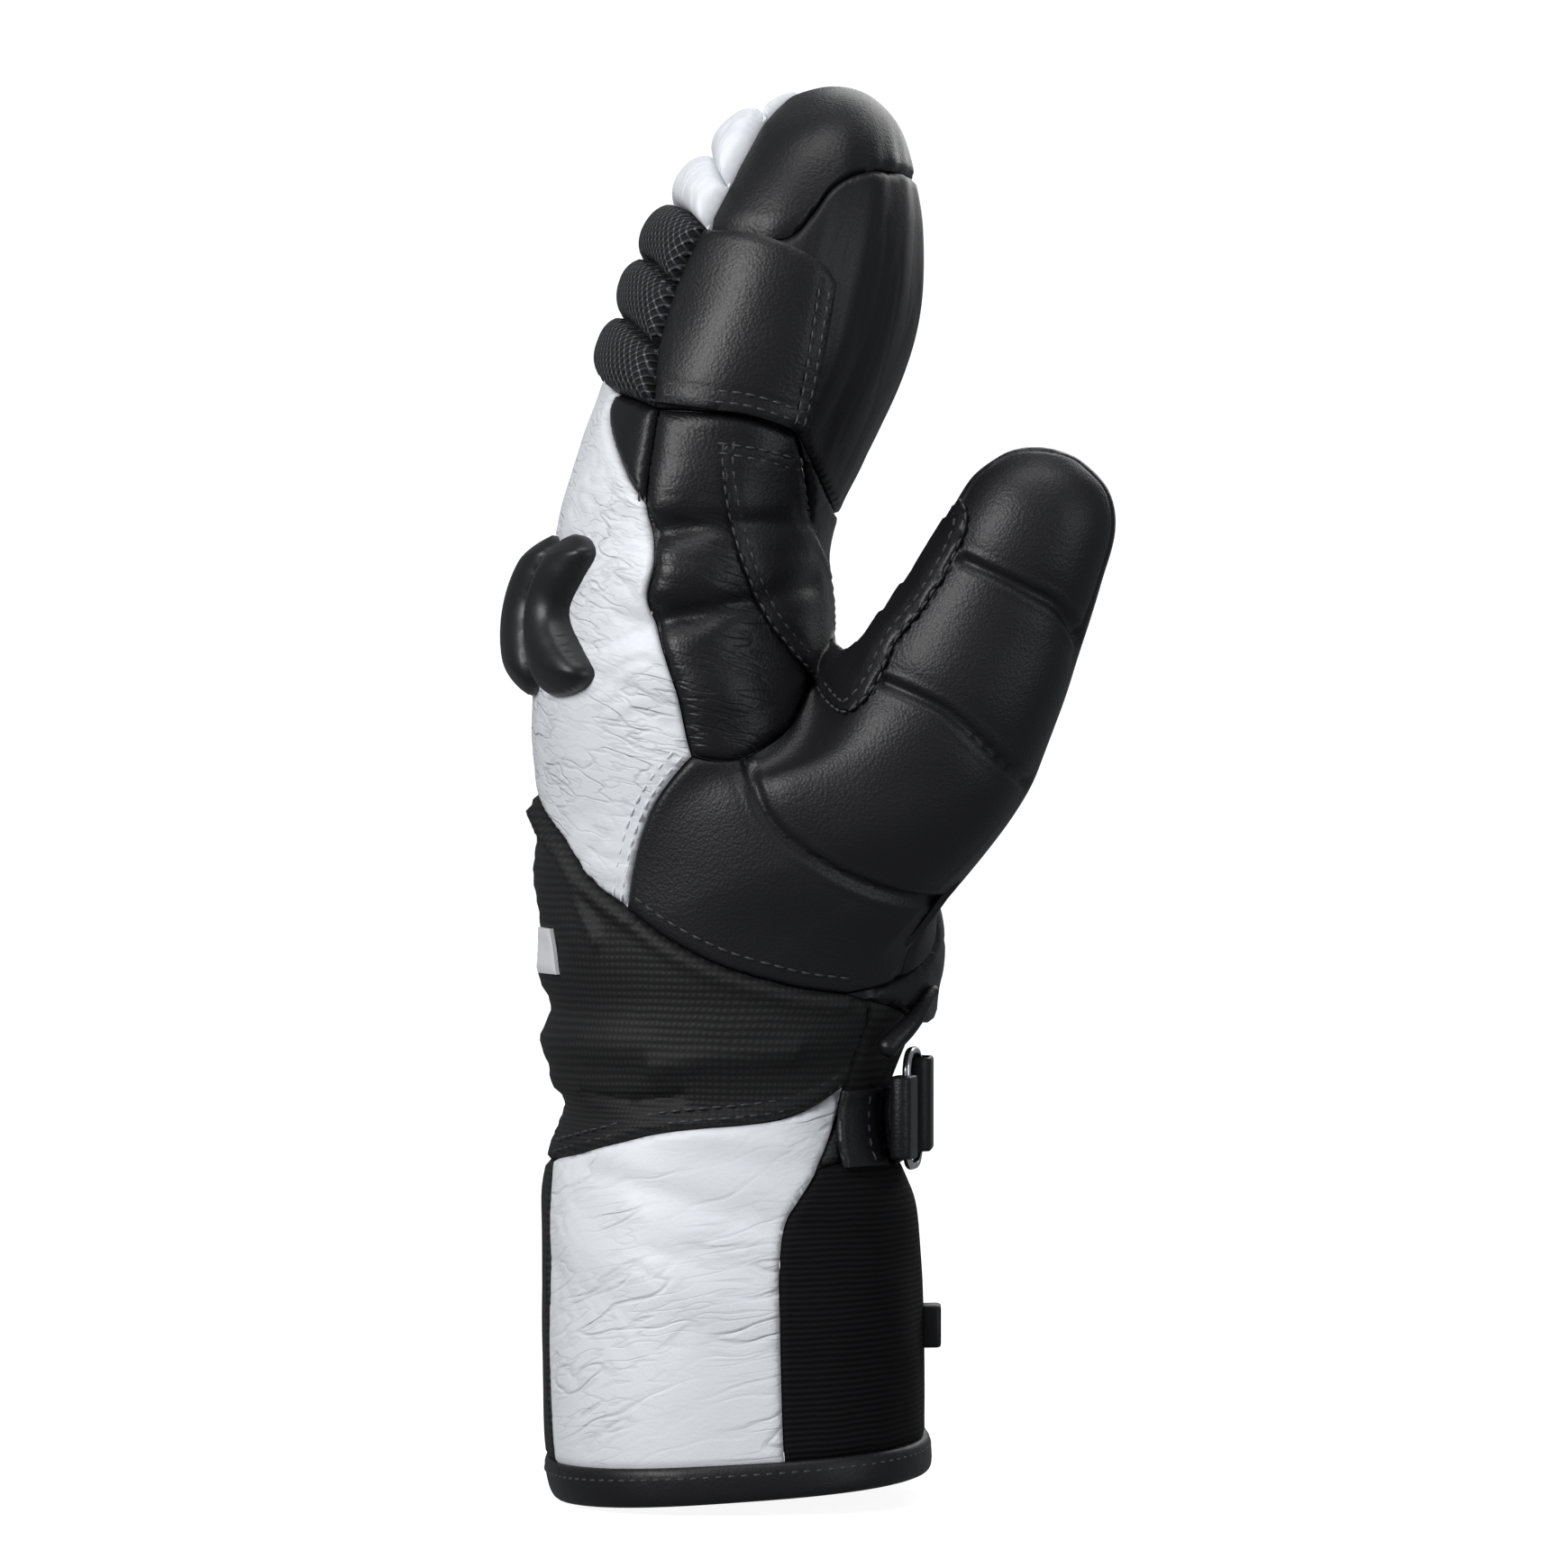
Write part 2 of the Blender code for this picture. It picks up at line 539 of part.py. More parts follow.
def thicken(name, points, normals, faces, outer, inner, look, edge_gap=GAP / 2):
    """A closed wall over a net of points: each edge drawn in by edge_gap, its faces at the heights outer and inner."""
    used = sorted({k for face in faces for k in face})
    directed = {}
    for face in faces:
        for k, m in zip(face, face[1:] + face[:1]):
            directed[(k, m)] = True
    rim = [(k, m) for k, m in directed if (m, k) not in directed]
    following = {k: m for k, m in rim}
    leading = {m: k for k, m in rim}
    moved = {}
    for k in used:
        point, normal = points[k], normals[k]
        if k in following:
            ahead = (points[following[k]] - point).normalized()
            behind = (point - points[leading[k]]).normalized()
            inward_1, inward_2 = normal.cross(ahead).normalized(), normal.cross(behind).normalized()
            inward = inward_1 + inward_2
            if inward.length > 1e-6:
                inward.normalize()
                inward /= max(inward.dot(inward_1), 0.45)
            point = point + inward * edge_gap
        moved[k] = point
    bm = bmesh.new()
    top = {k: bm.verts.new(moved[k] + normals[k] * outer(k)) for k in used}
    low = {k: bm.verts.new(moved[k] + normals[k] * inner(k)) for k in used}
    for face in faces:
        bm.faces.new([top[k] for k in face])
        bm.faces.new([low[k] for k in reversed(face)])
    for k, m in rim:
        bm.faces.new([top[m], top[k], low[k], low[m]])
    return make_object(name, bm, *look)


def face_outward(faces, points, normals):
    """The faces of one net, all turned over if their winding runs against the skin's normals."""
    agreement = 0.0
    for face in faces:
        a, b, c = points[face[0]], points[face[1]], points[face[2]]
        agreement += (b - a).cross(c - a).dot(normals[face[0]] + normals[face[1]] + normals[face[2]])
    return [tuple(face) if agreement > 0 else tuple(reversed(face)) for face in faces]


def panel(name, loop, look, step=PANEL_STEP, lift=0.0, wall=WALL, crown=0.0, shoulder=ROLL_SHOULDER):
    """A wall on the body over an outline: lifted clear of the skin, and raised to a crown like a pad where asked."""
    pattern, faces, depths = fill_pattern(loop, step)
    frames = [body_frame(a, r) for a, r in pattern]
    points, normals = [f[0] for f in frames], [f[1] for f in frames]
    faces = face_outward(faces, points, normals)
    base = lift if lift else -wall
    top = lift + wall if lift else 0.0
    return thicken(
        name, points, normals, faces, lambda k: top + crown * rounded(depths[k] / shoulder), lambda k: base, look,
    )


def ring_wall(name, columns, low, high, look, outer, wall):
    """A closed band round the body between two heights."""
    frames = [body_frame(along, around) for along in (low, high) for around in columns]
    points, normals = [f[0] for f in frames], [f[1] for f in frames]
    count = len(columns)
    faces = [(k, (k + 1) % count, count + (k + 1) % count, count + k) for k in range(count)]
    faces = face_outward(faces, points, normals)
    return thicken(name, points, normals, faces, lambda k: outer, lambda k: outer - wall, look)


def dome(name, base, look, rows=4):
    """The fingertip: columns from a ring of seam points up to one pole."""
    count = len(base)
    points, normals, faces = [], [], []
    for j in range(rows):
        share = 1 - (1 - j / rows) ** 1.5
        for along, around in base:
            start = section_place(along)
            place = start + (len(SECTIONS) - 1 - start) * share
            point, normal = body_frame(smooth_row(SECTIONS, place)[0], around)
            points.append(point)
            normals.append(normal)
    pole = len(points)
    points.append(oval_point(len(SECTIONS) - 1.0, 0.5))
    normals.append(Vector((0.05, 0.0, 1.0)).normalized())
    for j in range(rows - 1):
        for k in range(count):
            n = (k + 1) % count
            faces.append((j * count + k, j * count + n, (j + 1) * count + n, (j + 1) * count + k))
    for k in range(count):
        faces.append(((rows - 1) * count + k, (rows - 1) * count + (k + 1) % count, pole))
    faces = face_outward(faces, points, normals)
    return thicken(name, points, normals, faces, lambda k: 0.0, lambda k: -WALL, look)


def thumb_root():
    return Vector((THUMB_ROOT_X * PALM_DEPTH, 0.0, zone_height(THUMB_ROOT_ALONG)))


def thumb_point(place, turn):
    """A point of the free thumb at a fractional row, turned round it in degrees."""
    along, aside, depth, lean, width, side = smooth_row(THUMB_ROWS, place)
    tilt = math.radians(THUMB_LEAN)
    axis = Vector((math.sin(tilt), 0.0, math.cos(tilt)))
    across = Vector((math.cos(tilt), 0.0, -math.sin(tilt)))
    middle = thumb_root() + axis * along * THUMB_LENGTH + across * aside * THUMB_LENGTH
    middle.y = -side * THUMB_SIDE
    slope = math.radians(lean)
    outward = Vector((math.cos(slope), 0.0, -math.sin(slope)))
    c, s = math.cos(math.radians(turn)), math.sin(math.radians(turn))
    c = math.copysign(abs(c) ** (2 / THUMB_FULL), c)
    s = math.copysign(abs(s) ** (2 / THUMB_FULL), s)
    return middle + outward * (c * depth * THUMB_DEPTH / 2) + Vector((0, -1, 0)) * (s * width * THUMB_WIDTH / 2)


def thumb_column(ring, k):
    """Points from the ring on the body up to the thumb's tip, and how far up each one is (-1, 0 at the web, 1).

    A column leaves the body square to the ring, along its skin, and turns up into the thumb. Next to the finger
    it first dips, which makes the web between finger and thumb.
    """
    base, turn = ring[k]
    start, skin = body_frame(*base)
    run = body_frame(*ring[(k + 1) % len(ring)][0])[0] - body_frame(*ring[k - 1][0])[0]
    square = skin.cross(run).normalized()
    web = max(-math.cos(math.radians(turn)), 0.0) ** 2
    place_0 = WEB_RISE * web
    first = thumb_point(place_0, turn)
    ahead = thumb_point(place_0 + 0.3, turn) - first
    reach = (first - start).length * (1 + WEB_DIP * web)
    arrive = ahead.normalized() * reach
    chord = first - start
    straight = (chord - skin * chord.dot(skin)).normalized()
    squareness = min(max((turn - SQUARE_FROM) / SQUARE_OVER, 0.0), 1.0) if turn > 0 else HIDDEN_SQUARENESS
    leave = straight.lerp(square, squareness).normalized() * reach
    points, heights = [], []
    for j in range(THUMB_LOW_ROWS):
        f = j / THUMB_LOW_ROWS
        h1, h2 = 2 * f ** 3 - 3 * f * f + 1, f ** 3 - 2 * f * f + f
        h3, h4 = 3 * f * f - 2 * f ** 3, f ** 3 - f * f
        points.append(start * h1 + leave * h2 + first * h3 + arrive * h4)
        heights.append(f - 1.0)
    last = len(THUMB_ROWS) - 1
    for j in range(THUMB_FREE_ROWS):
        place = place_0 + (last - place_0) * (1 - (1 - j / THUMB_FREE_ROWS) ** 1.15)
        points.append(thumb_point(place, turn))
        heights.append(smooth_row(THUMB_ROWS, place)[0])
    return points, heights


def groove(height, turn):
    """How deep the thumb's pressed grooves are at a place, on the side that is seen."""
    facing = max(math.sin(math.radians(turn)), 0.0)
    across = (1 - math.cos(math.radians(turn))) / 2
    total = 0.0
    for inner, outer, bow, depth in GROOVE_ROWS:
        middle = outer + (inner - outer) * across + bow * math.sin(PI * across)
        total += depth * WALL * math.exp(-(((height - middle) / GROOVE_REACH) ** 2))
    return total * min(facing * 3.0, 1.0)


def thumb_ring():
    """The ring's pattern points with their turns, once round."""
    ring = []
    for name, start, end in RING_ROWS:
        points = seam(name)
        for k, point in enumerate(points[:-1]):
            ring.append((point, start + (end - start) * k / (len(points) - 1)))
    return ring


def thumb_net():
    ring = thumb_ring()
    columns = [thumb_column(ring, k) for k in range(len(ring))]
    count, rows = len(columns), THUMB_LOW_ROWS + THUMB_FREE_ROWS
    points = [columns[k][0][j] for j in range(rows) for k in range(count)]
    heights = [columns[k][1][j] for j in range(rows) for k in range(count)]
    turns = [ring[k][1] for _ in range(rows) for k in range(count)]
    pole = len(points)
    points.append(thumb_point(len(THUMB_ROWS) - 1.0, 0.0))
    heights.append(1.0)
    turns.append(0.0)
    normals = []
    for j in range(rows):
        for k in range(count):
            if j == 0:
                normals.append(body_frame(*ring[k][0])[1])
                continue
            above = points[(j + 1) * count + k] if j + 1 < rows else points[pole]
            below = points[(j - 1) * count + k]
            left, right = points[j * count + (k - 1) % count], points[j * count + (k + 1) % count]
            normals.append((right - left).cross(above - below).normalized())
    tip_axis = points[pole] - thumb_root()
    tip_axis.y = 0.0
    normals.append(tip_axis.normalized())
    return ring, points, normals, heights, turns, count, rows, pole


def build_thumb(outer_look, inner_look):
    ring, points, normals, heights, turns, count, rows, pole = thumb_net()
    outer_columns = {k for k in range(count) if ring[k][1] > OUTER_TO}
    whole_from = rows - THUMB_WHOLE_ROWS
    outer_faces, inner_faces = [], []
    for j in range(rows):
        for k in range(count):
            n = (k + 1) % count
            if j + 1 < rows:
                face = (j * count + k, j * count + n, (j + 1) * count + n, (j + 1) * count + k)
            else:
                face = (j * count + k, j * count + n, pole)
            seen = k in outer_columns or j >= whole_from
            (outer_faces if seen else inner_faces).append(face)
    outer_faces = face_outward(outer_faces, points, normals)
    inner_faces = face_outward(inner_faces, points, normals)

    def wall(k):
        corner = max(math.cos(math.radians(turns[k] - WEB_TURN)), 0.0) ** WEB_NARROW
        return WALL * (1 - WEB_THIN * corner * min(max(-heights[k], 0.0), 1.0))

    thicken(
        "thumb_outer_panel", points, normals, outer_faces,
        lambda k: -groove(heights[k], turns[k]), lambda k: -wall(k) - groove(heights[k], turns[k]), outer_look,
    )
    thicken(
        "thumb_inner_panel", points, normals, inner_faces, lambda k: 0.0, lambda k: -wall(k), inner_look,
        edge_gap=GAP * 1.5,
    )


def guard_outline(middle, side, prong_share):
    near = [(a, middle + side * (n + p * prong_share)) for a, n, f, p in GUARD_ROWS]
    far = [(a, middle + side * f) for a, n, f, p in GUARD_ROWS]
    corners = near + far[::-1]
    closed = [corners[-1]] + corners + corners[:2]
    loop = []
    for k in range(1, len(closed) - 2):
        p0, p1, p2, p3 = closed[k - 1], closed[k], closed[k + 1], closed[k + 2]
        loop.append(p1)
        loop.append(tuple((9 * (p1[m] + p2[m]) - p0[m] - p3[m]) / 16 for m in range(2)))
    return loop


def tube(name, points, radius, look, closed=False, sides=2):
    curve = bpy.data.curves.new(name, "CURVE")
    curve.dimensions = "3D"
    curve.bevel_depth = radius
    curve.bevel_resolution = sides
    curve.use_fill_caps = True
    spline = curve.splines.new("POLY")
    spline.points.add(len(points) - 1)
    for k, point in enumerate(points):
        spline.points[k].co = (*point, 1.0)
    spline.use_cyclic_u = closed
    obj = bpy.data.objects.new(name, curve)
    COLLECTION.objects.link(obj)
    dress(obj, *look)
    return obj


def raised(along, around, height):
    point, normal = body_frame(along, around)
    return point + normal * height


def rounded_loop(width, height, radius, steps=4):
    """Points of a rectangle with round corners, in its own plane."""
    loop = []
    for cx, cy, start in ((1, 1, 0), (-1, 1, 90), (-1, -1, 180), (1, -1, 270)):
        for k in range(steps + 1):
            turn = math.radians(start + 90 * k / steps)
            loop.append((
                cx * (width / 2 - radius) + radius * math.cos(turn), cy * (height / 2 - radius) + radius * math.sin(turn),
            ))
    return loop


def along_at(height):
    """The place along the body at a height."""
    if height < CUFF_LENGTH:
        return height / CUFF_LENGTH
    return 1.0 + (height - CUFF_LENGTH) / PALM_LENGTH


def keeper_frame():
    """The keeper's seat over the strap, with a level normal: the seat, the normal, the way round and up.

    The seat stands off the strap below it, and far enough for the ring's upper end to clear the heel of the hand.
    """
    point, normal = body_frame(KEEPER_ALONG, KEEPER_AROUND)
    normal.z = 0.0
    normal.normalize()
    over_strap = 2 * SEAT + PATCH + KEEPER_DEPTH / 2 + KEEPER_PLAY
    heel = body_frame(along_at(zone_height(KEEPER_ALONG) + RING_HEIGHT / 2), KEEPER_AROUND)[0]
    over_heel = (heel - point).dot(normal) + KEEPER_DEPTH / 2 + RING_CLEAR
    up = Vector((0, 0, 1))
    return point + normal * max(over_strap, over_heel), normal, normal.cross(up), up


def build_strap(leather, metal):
    """The wrist strap on the palm side: a short end, a wire ring held in a keeper, and a long end."""
    middle = zone_height(STRAP_ALONG)
    low, high = along_at(middle - STRAP_WIDTH / 2), along_at(middle + STRAP_WIDTH / 2)
    girth = (raised(STRAP_ALONG, 1.0, 0) - raised(STRAP_ALONG, 0.9, 0)).length / 0.1
    bar = KEEPER_REACH / 2 - KEEPER_WALL - RING_WIRE / 2 - KEEPER_DEPTH / 2
    clear = RING_WIRE / 2 + 2 * SEAT
    near_end = KEEPER_AROUND - (bar + RING_REACH + clear) / girth
    far_start = KEEPER_AROUND - (bar + RING_REACH - clear - RING_WIRE) / girth
    short_end = ((low, STRAP_NEAR_LOW), (high, STRAP_NEAR_HIGH), (high, near_end), (low, near_end))
    long_end = ((low, far_start), (high, far_start), (high, STRAP_FAR_HIGH), (low, STRAP_FAR_LOW))
    for name, corners in (("wrist_strap_short", short_end), ("wrist_strap_long", long_end)):
        sides = tuple((a, b) for a, b in zip(corners, corners[1:] + corners[:1]))
        panel(name, patch_outline(sides), leather, step=FOLD_STEP, lift=SEAT, wall=PATCH)
    seat, normal, side, up = keeper_frame()
    tilt = math.radians(RING_TILT)
    away = side * math.cos(tilt) - normal * math.sin(tilt)
    centre = seat + side * bar + away * (RING_REACH / 2) - up * RING_DROP
    ring = [centre + away * x + up * y for x, y in rounded_loop(RING_REACH, RING_HEIGHT, RING_REACH * RING_CORNER)]
    tube("strap_ring", ring, RING_WIRE / 2, metal, closed=True)
    bm = bmesh.new()
    loops = []
    for shrink in (0.0, KEEPER_WALL):
        reach, depth = KEEPER_REACH - 2 * shrink, KEEPER_DEPTH - 2 * shrink
        flat = rounded_loop(reach, depth, KEEPER_DEPTH * KEEPER_CORNER - shrink)
        for rise in (-KEEPER_HEIGHT / 2, KEEPER_HEIGHT / 2):
            loops.append([bm.verts.new(seat + side * x + normal * y + up * rise) for x, y in flat])
    outer_low, outer_high, inner_low, inner_high = loops
    count = len(outer_low)
    for first, second in (
        (outer_low, outer_high), (outer_high, inner_high), (inner_high, inner_low), (inner_low, outer_low),
    ):
        for k in range(count):
            n = (k + 1) % count
            bm.faces.new((first[k], first[n], second[n], second[k]))
    make_object("strap_keeper", bm, *leather)


def block(name, centre, right, up, out, size, look, bevel=0.0006):
    """A small flat tab: a cube stretched along three directions, with its edges rounded."""
    bm = bmesh.new()
    bmesh.ops.create_cube(bm, size=1.0)
    for vert in bm.verts:
        x, y, z = vert.co
        vert.co = centre + right * (x * size[0]) + up * (z * size[2]) + out * (y * size[1])
    obj = make_object(name, bm, *look)
    rounding = obj.modifiers.new("rounding", "BEVEL")
    rounding.width = bevel
    rounding.segments = 2
    return obj


def build_tabs(black, white):
    """A pull tab on the gusset, and a plain flat tab on the back of the wrist."""
    middle, normal = body_frame(*PULL_TAB_PLACE)
    up = Vector((0, 0, 1))
    side = normal.cross(up).normalized()
    block(
        "pull_tab", middle + normal * (SEAT + PULL_TAB_REACH / 2), side, up, normal,
        (PULL_TAB_WIDTH, PULL_TAB_REACH, PULL_TAB_HEIGHT), black,
    )
    panel("wrist_tab", patch_outline(WRIST_TAB), white, step=FOLD_STEP, lift=SEAT, wall=PATCH * 0.5)


def build_piping(look):
    """A rolled edge at the heel of the hand, above the strap."""
    rows = ((1.190, 0.930), (1.160, 0.870), (1.130, 0.820), (1.095, 0.780))
    radius = PIPING_WIDTH / 2
    points = [raised(a, r, radius + PIPING_LIFT) for a, r in curve_through(rows, 8)]
    tube("heel_piping", points, radius, look)


def build_cuff():
    near = outline("hem_near", "cuff_palm", "wrist_low", "-cuff_top", "-cuff_back")
    panel("cuff_leather_near", near, WHITE_LEATHER)
    panel("cuff_leather_far", [(a, -r) for a, r in near], WHITE_LEATHER)
    panel(
        "cuff_back_panel", outline("hem_back", "cuff_back", "-cuff_top_back", ("-cuff_back", BACK)), BLACK_STRETCH,
    )
    panel("cuff_gusset", outline("hem_palm", ("cuff_palm", PALM), "-gusset_top", "-cuff_palm"), BLACK_RIB)
    columns = [r for _, r in seam("hem_back")[:-1] + seam("hem_near")[:-1] + seam("hem_palm")[:-1]]
    columns += [r for _, r in seam("-hem_near", PALM)[:-1]]
    ring_wall("hem_binding", columns, 0.0, SEAMS["hem_back"][0][0], MATTE_LEATHER, HEM_PROUD, HEM_WALL)


def build_wrist():
    panel(
        "wrist_panel",
        outline(
            ("-cuff_top", BACK), "cuff_top_back", "cuff_top", "wrist_high", "-low_notch", "-low_thumb", "-low_side",
            "-low_back", ("low_side", BACK), ("low_thumb", BACK), ("low_notch", BACK), ("-wrist_high", BACK),
        ),
        BLACK_STRETCH, step=FOLD_STEP,
    )
    panel(
        "wrist_palm_panel",
        outline("gusset_top", ("wrist_low", PALM), ("wrist_high", PALM), "-low_palm", "-wrist_high", "-wrist_low"),
        BLACK_STRETCH,
    )


def build_hand():
    panel(
        "hand_back_panel",
        outline(
            "low_back", "back_edge_low", "back_edge_high", "insert_left", "-knuckle_top", ("-far_back_edge", ROUND),
        ),
        WHITE_LEATHER,
    )
    panel("finger_base_insert", outline("insert_left", "insert_top", "-insert_right"), BLACK_LEATHER, step=ROLL_STEP)
    panel(
        "index_base_panel",
        outline("-index_low", "-index_right", "-index_top", "-insert_right", "-back_edge_high"),
        BLACK_LEATHER, step=FOLD_STEP,
    )
    panel(
        "palm_panel",
        outline(
            "low_notch", "low_palm", ("-low_notch", PALM), ("-low_thumb", PALM), "far_palm_edge", "-finger_crease",
            "index_right", "-thumb_hidden",
        ),
        MATTE_LEATHER,
    )
    panel(
        "far_side_panel",
        outline(("-low_side", PALM), "far_back_edge", ("index_top", PALM), "-far_palm_edge"),
        BLACK_LEATHER,
    )


def build_fingers():
    panel(
        "finger_palm_panel",
        outline(
            "index_top", "finger_crease", ("-index_top", PALM), ("roll_edge_1", PALM), ("roll_edge_2", PALM),
            ("roll_edge_3", PALM), "-cap_seam", "-roll_edge_3", "-roll_edge_2", "-roll_edge_1",
        ),
        MATTE_LEATHER,
    )
    rolls = (
        ("mesh_roll_1", ("valley_2",), "roll_edge_3", "valley_3", BLACK_MESH),
        ("mesh_roll_2", ("valley_1",), "roll_edge_2", "valley_2", BLACK_MESH),
        ("mesh_roll_3", ("knuckle_top", "insert_top"), "roll_edge_1", "valley_1", BLACK_MESH),
        ("white_roll_1", ("valley_3",), "cap_edge_1", "valley_4", WHITE_LEATHER),
        ("white_roll_2", ("valley_4",), "cap_edge_2", "valley_5", WHITE_LEATHER),
    )
    for name, lower, edge, upper, look in rolls:
        loop = outline(*lower, edge, "-" + upper, ("-" + edge, BACK))
        panel(name, loop, look, step=ROLL_STEP, crown=ROLL_HEIGHT, shoulder=ROLL_SHOULDER)
    panel(
        "white_roll_3", outline("valley_5", "-cap_back"), WHITE_LEATHER, step=ROLL_STEP,
        crown=ROLL_HEIGHT * 0.4, shoulder=ROLL_SHOULDER * 0.5,
    )
    base = seam("cap_back")[:-1] + seam("-cap_edge_2")[:-1] + seam("-cap_edge_1")[:-1] + seam("cap_seam")[:-1]
    base += seam("cap_edge_1", PALM)[:-1] + seam("cap_edge_2", PALM)[:-1]
    dome("fingertip_cap", base, BLACK_LEATHER)


def build_patches():
    panel("side_patch", patch_outline(SIDE_PATCH), BLACK_LEATHER, step=FOLD_STEP, lift=SEAT, wall=PATCH)
    panel("web_patch", patch_outline(WEB_PATCH), BLACK_LEATHER, step=FOLD_STEP, lift=SEAT, wall=PATCH)


def build_guards():
    for number, (middle, side, prong) in enumerate(GUARD_PLACES, start=1):
        panel(
            f"knuckle_guard_{number}", guard_outline(middle, side, prong), HARD_BLACK, step=ROLL_STEP,
            lift=SEAT, wall=PATCH * 0.5, crown=GUARD_HEIGHT, shoulder=GUARD_HEIGHT,
        )


for old in list(bpy.data.objects):
    bpy.data.objects.remove(old)
COLLECTION = bpy.data.collections.new("ski_glove")
bpy.context.scene.collection.children.link(COLLECTION)
build_cuff()
build_wrist()
build_hand()
build_fingers()
build_patches()
build_guards()
build_thumb(FINE_LEATHER, BLACK_LEATHER)
build_strap(BLACK_LEATHER, STEEL)
build_piping(MATTE_LEATHER)
build_tabs(BLACK_STRETCH, WHITE_LEATHER)
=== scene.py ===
"""Dressed model of the mitten-style ski glove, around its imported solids.

Every panel is made again here as fine leather or cloth over the same body and the same seams, with its
padding, creases, pressed grooves and stitching. Metres, +Z up the hand, palm towards +X, thumb side
towards -Y.
"""

import math

import bpy
import numpy as np
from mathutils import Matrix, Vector
from mathutils.bvhtree import BVHTree
from mathutils.geometry import delaunay_2d_cdt


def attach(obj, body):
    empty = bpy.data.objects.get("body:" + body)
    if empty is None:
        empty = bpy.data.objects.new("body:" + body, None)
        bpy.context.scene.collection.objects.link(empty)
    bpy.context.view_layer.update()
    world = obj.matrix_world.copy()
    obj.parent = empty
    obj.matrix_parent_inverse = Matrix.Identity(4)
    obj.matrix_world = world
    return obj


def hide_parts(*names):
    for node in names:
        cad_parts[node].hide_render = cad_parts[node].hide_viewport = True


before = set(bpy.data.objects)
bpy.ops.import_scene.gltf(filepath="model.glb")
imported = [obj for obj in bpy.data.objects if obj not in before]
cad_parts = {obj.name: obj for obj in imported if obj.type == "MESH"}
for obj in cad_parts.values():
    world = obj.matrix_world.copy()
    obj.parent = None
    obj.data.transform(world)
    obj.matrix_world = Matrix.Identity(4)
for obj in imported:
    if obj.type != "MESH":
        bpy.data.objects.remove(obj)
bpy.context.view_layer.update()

# Driving sizes of the body: the length of each stretch, then its depth from back to palm and its width
# from the thumb side to the far side.
CUFF_LENGTH = 0.0813
PALM_LENGTH = 0.1224
FINGER_LENGTH = 0.0893
CUFF_DEPTH = 0.080
CUFF_WIDTH = 0.094
WRIST_DEPTH = 0.069
WRIST_WIDTH = 0.080
PALM_DEPTH = 0.064
PALM_WIDTH = 0.100
FINGER_DEPTH = 0.057
FINGER_WIDTH = 0.094

# Thumb: free length above the web, depth in the side view, width across it, how far its middle stands to
# the side, and its lean in degrees.
THUMB_LENGTH = 0.0595
THUMB_DEPTH = 0.0352
THUMB_WIDTH = 0.034
THUMB_SIDE = 0.036
THUMB_LEAN = 20.5

# Walls, the seat of sewn-on pieces, and how far the hem stands proud and laps over the panels.
WALL = 0.0022
PATCH = 0.0013
SEAT = 0.0009
HEM_WALL = 0.0034
HEM_PROUD = 0.0009
HEM_LAP = 0.010

# Trim and fittings.
ROLL_HEIGHT = 0.0042
ROLL_SHOULDER = 0.0058
GUARD_HEIGHT = 0.0064
STRAP_WIDTH = 0.0172
RING_HEIGHT = 0.0238
RING_REACH = 0.0125
RING_WIRE = 0.0018
KEEPER_REACH = 0.0145
KEEPER_DEPTH = 0.0056
KEEPER_PLAY = 0.0010
KEEPER_HEIGHT = 0.0196
KEEPER_WALL = 0.0011
PIPING_WIDTH = 0.0056
PULL_TAB_HEIGHT = 0.0089
PULL_TAB_WIDTH = 0.0100
PULL_TAB_REACH = 0.0028

# Where the strap lies along the body, where its two ends start and stop round it at its low and high
# edge, and how far its row of stitches lies from the short end. Then where its keeper sits, and the
# ring's lean in degrees.
STRAP_ALONG = 0.930
SHORT_FROM = (0.708, 0.718)
LONG_TO = (1.300, 1.285)
STRAP_ROW = 0.055
KEEPER_ALONG = 0.982
KEEPER_AROUND = 0.965
RING_TILT = 9.0
RING_DROP = 0.0006

# The strap's end folded round the ring: its reach along the strap, its depth, and its place beside the
# ring.
FOLD_REACH = 0.0104
FOLD_DEPTH = 0.0044
FOLD_AWAY = 0.0034
FOLD_DROP = 0.0015

# Rings of the small fittings from one end to the other: height as a share of half their own, then the
# section's size, or for the keeper how much of its wall is rounded away.
FOLD_LEVELS = ((-1, 0.86), (-0.97, 0.97), (-0.90, 1.0), (0.0, 1.0), (0.90, 1.0), (0.97, 0.97), (1, 0.86))
TAB_LEVELS = ((-1, 0.75), (-0.94, 0.95), (-0.8, 1.0), (0.0, 1.0), (0.8, 1.0), (0.94, 0.95), (1, 0.75))
KEEPER_LEVELS = (
    (-1, 0.35), (-0.97, 0.1), (-0.92, 0.0), (-0.5, 0.0), (0.0, 0.0), (0.5, 0.0), (0.92, 0.0),
    (0.97, 0.1), (1, 0.35),
)

# How high the white tab stands over the skin.
TAB_HEIGHT = 0.0011

# The heel's bulge over the wrist: where it lies along the body, and its reach and height.
HEEL_ALONG = 1.142
HEEL_REACH = 0.022
HEEL_BULGE = 0.0022

# The cuff's folds: the share of their fall that runs up the pattern, and the share across it.
CUFF_FALL_UP = 0.80
CUFF_FALL_ACROSS = 0.60

ZONES = {
    "cuff": (CUFF_DEPTH, CUFF_WIDTH),
    "wrist": (WRIST_DEPTH, WRIST_WIDTH),
    "palm": (PALM_DEPTH, PALM_WIDTH),
    "finger": (FINGER_DEPTH, FINGER_WIDTH),
}

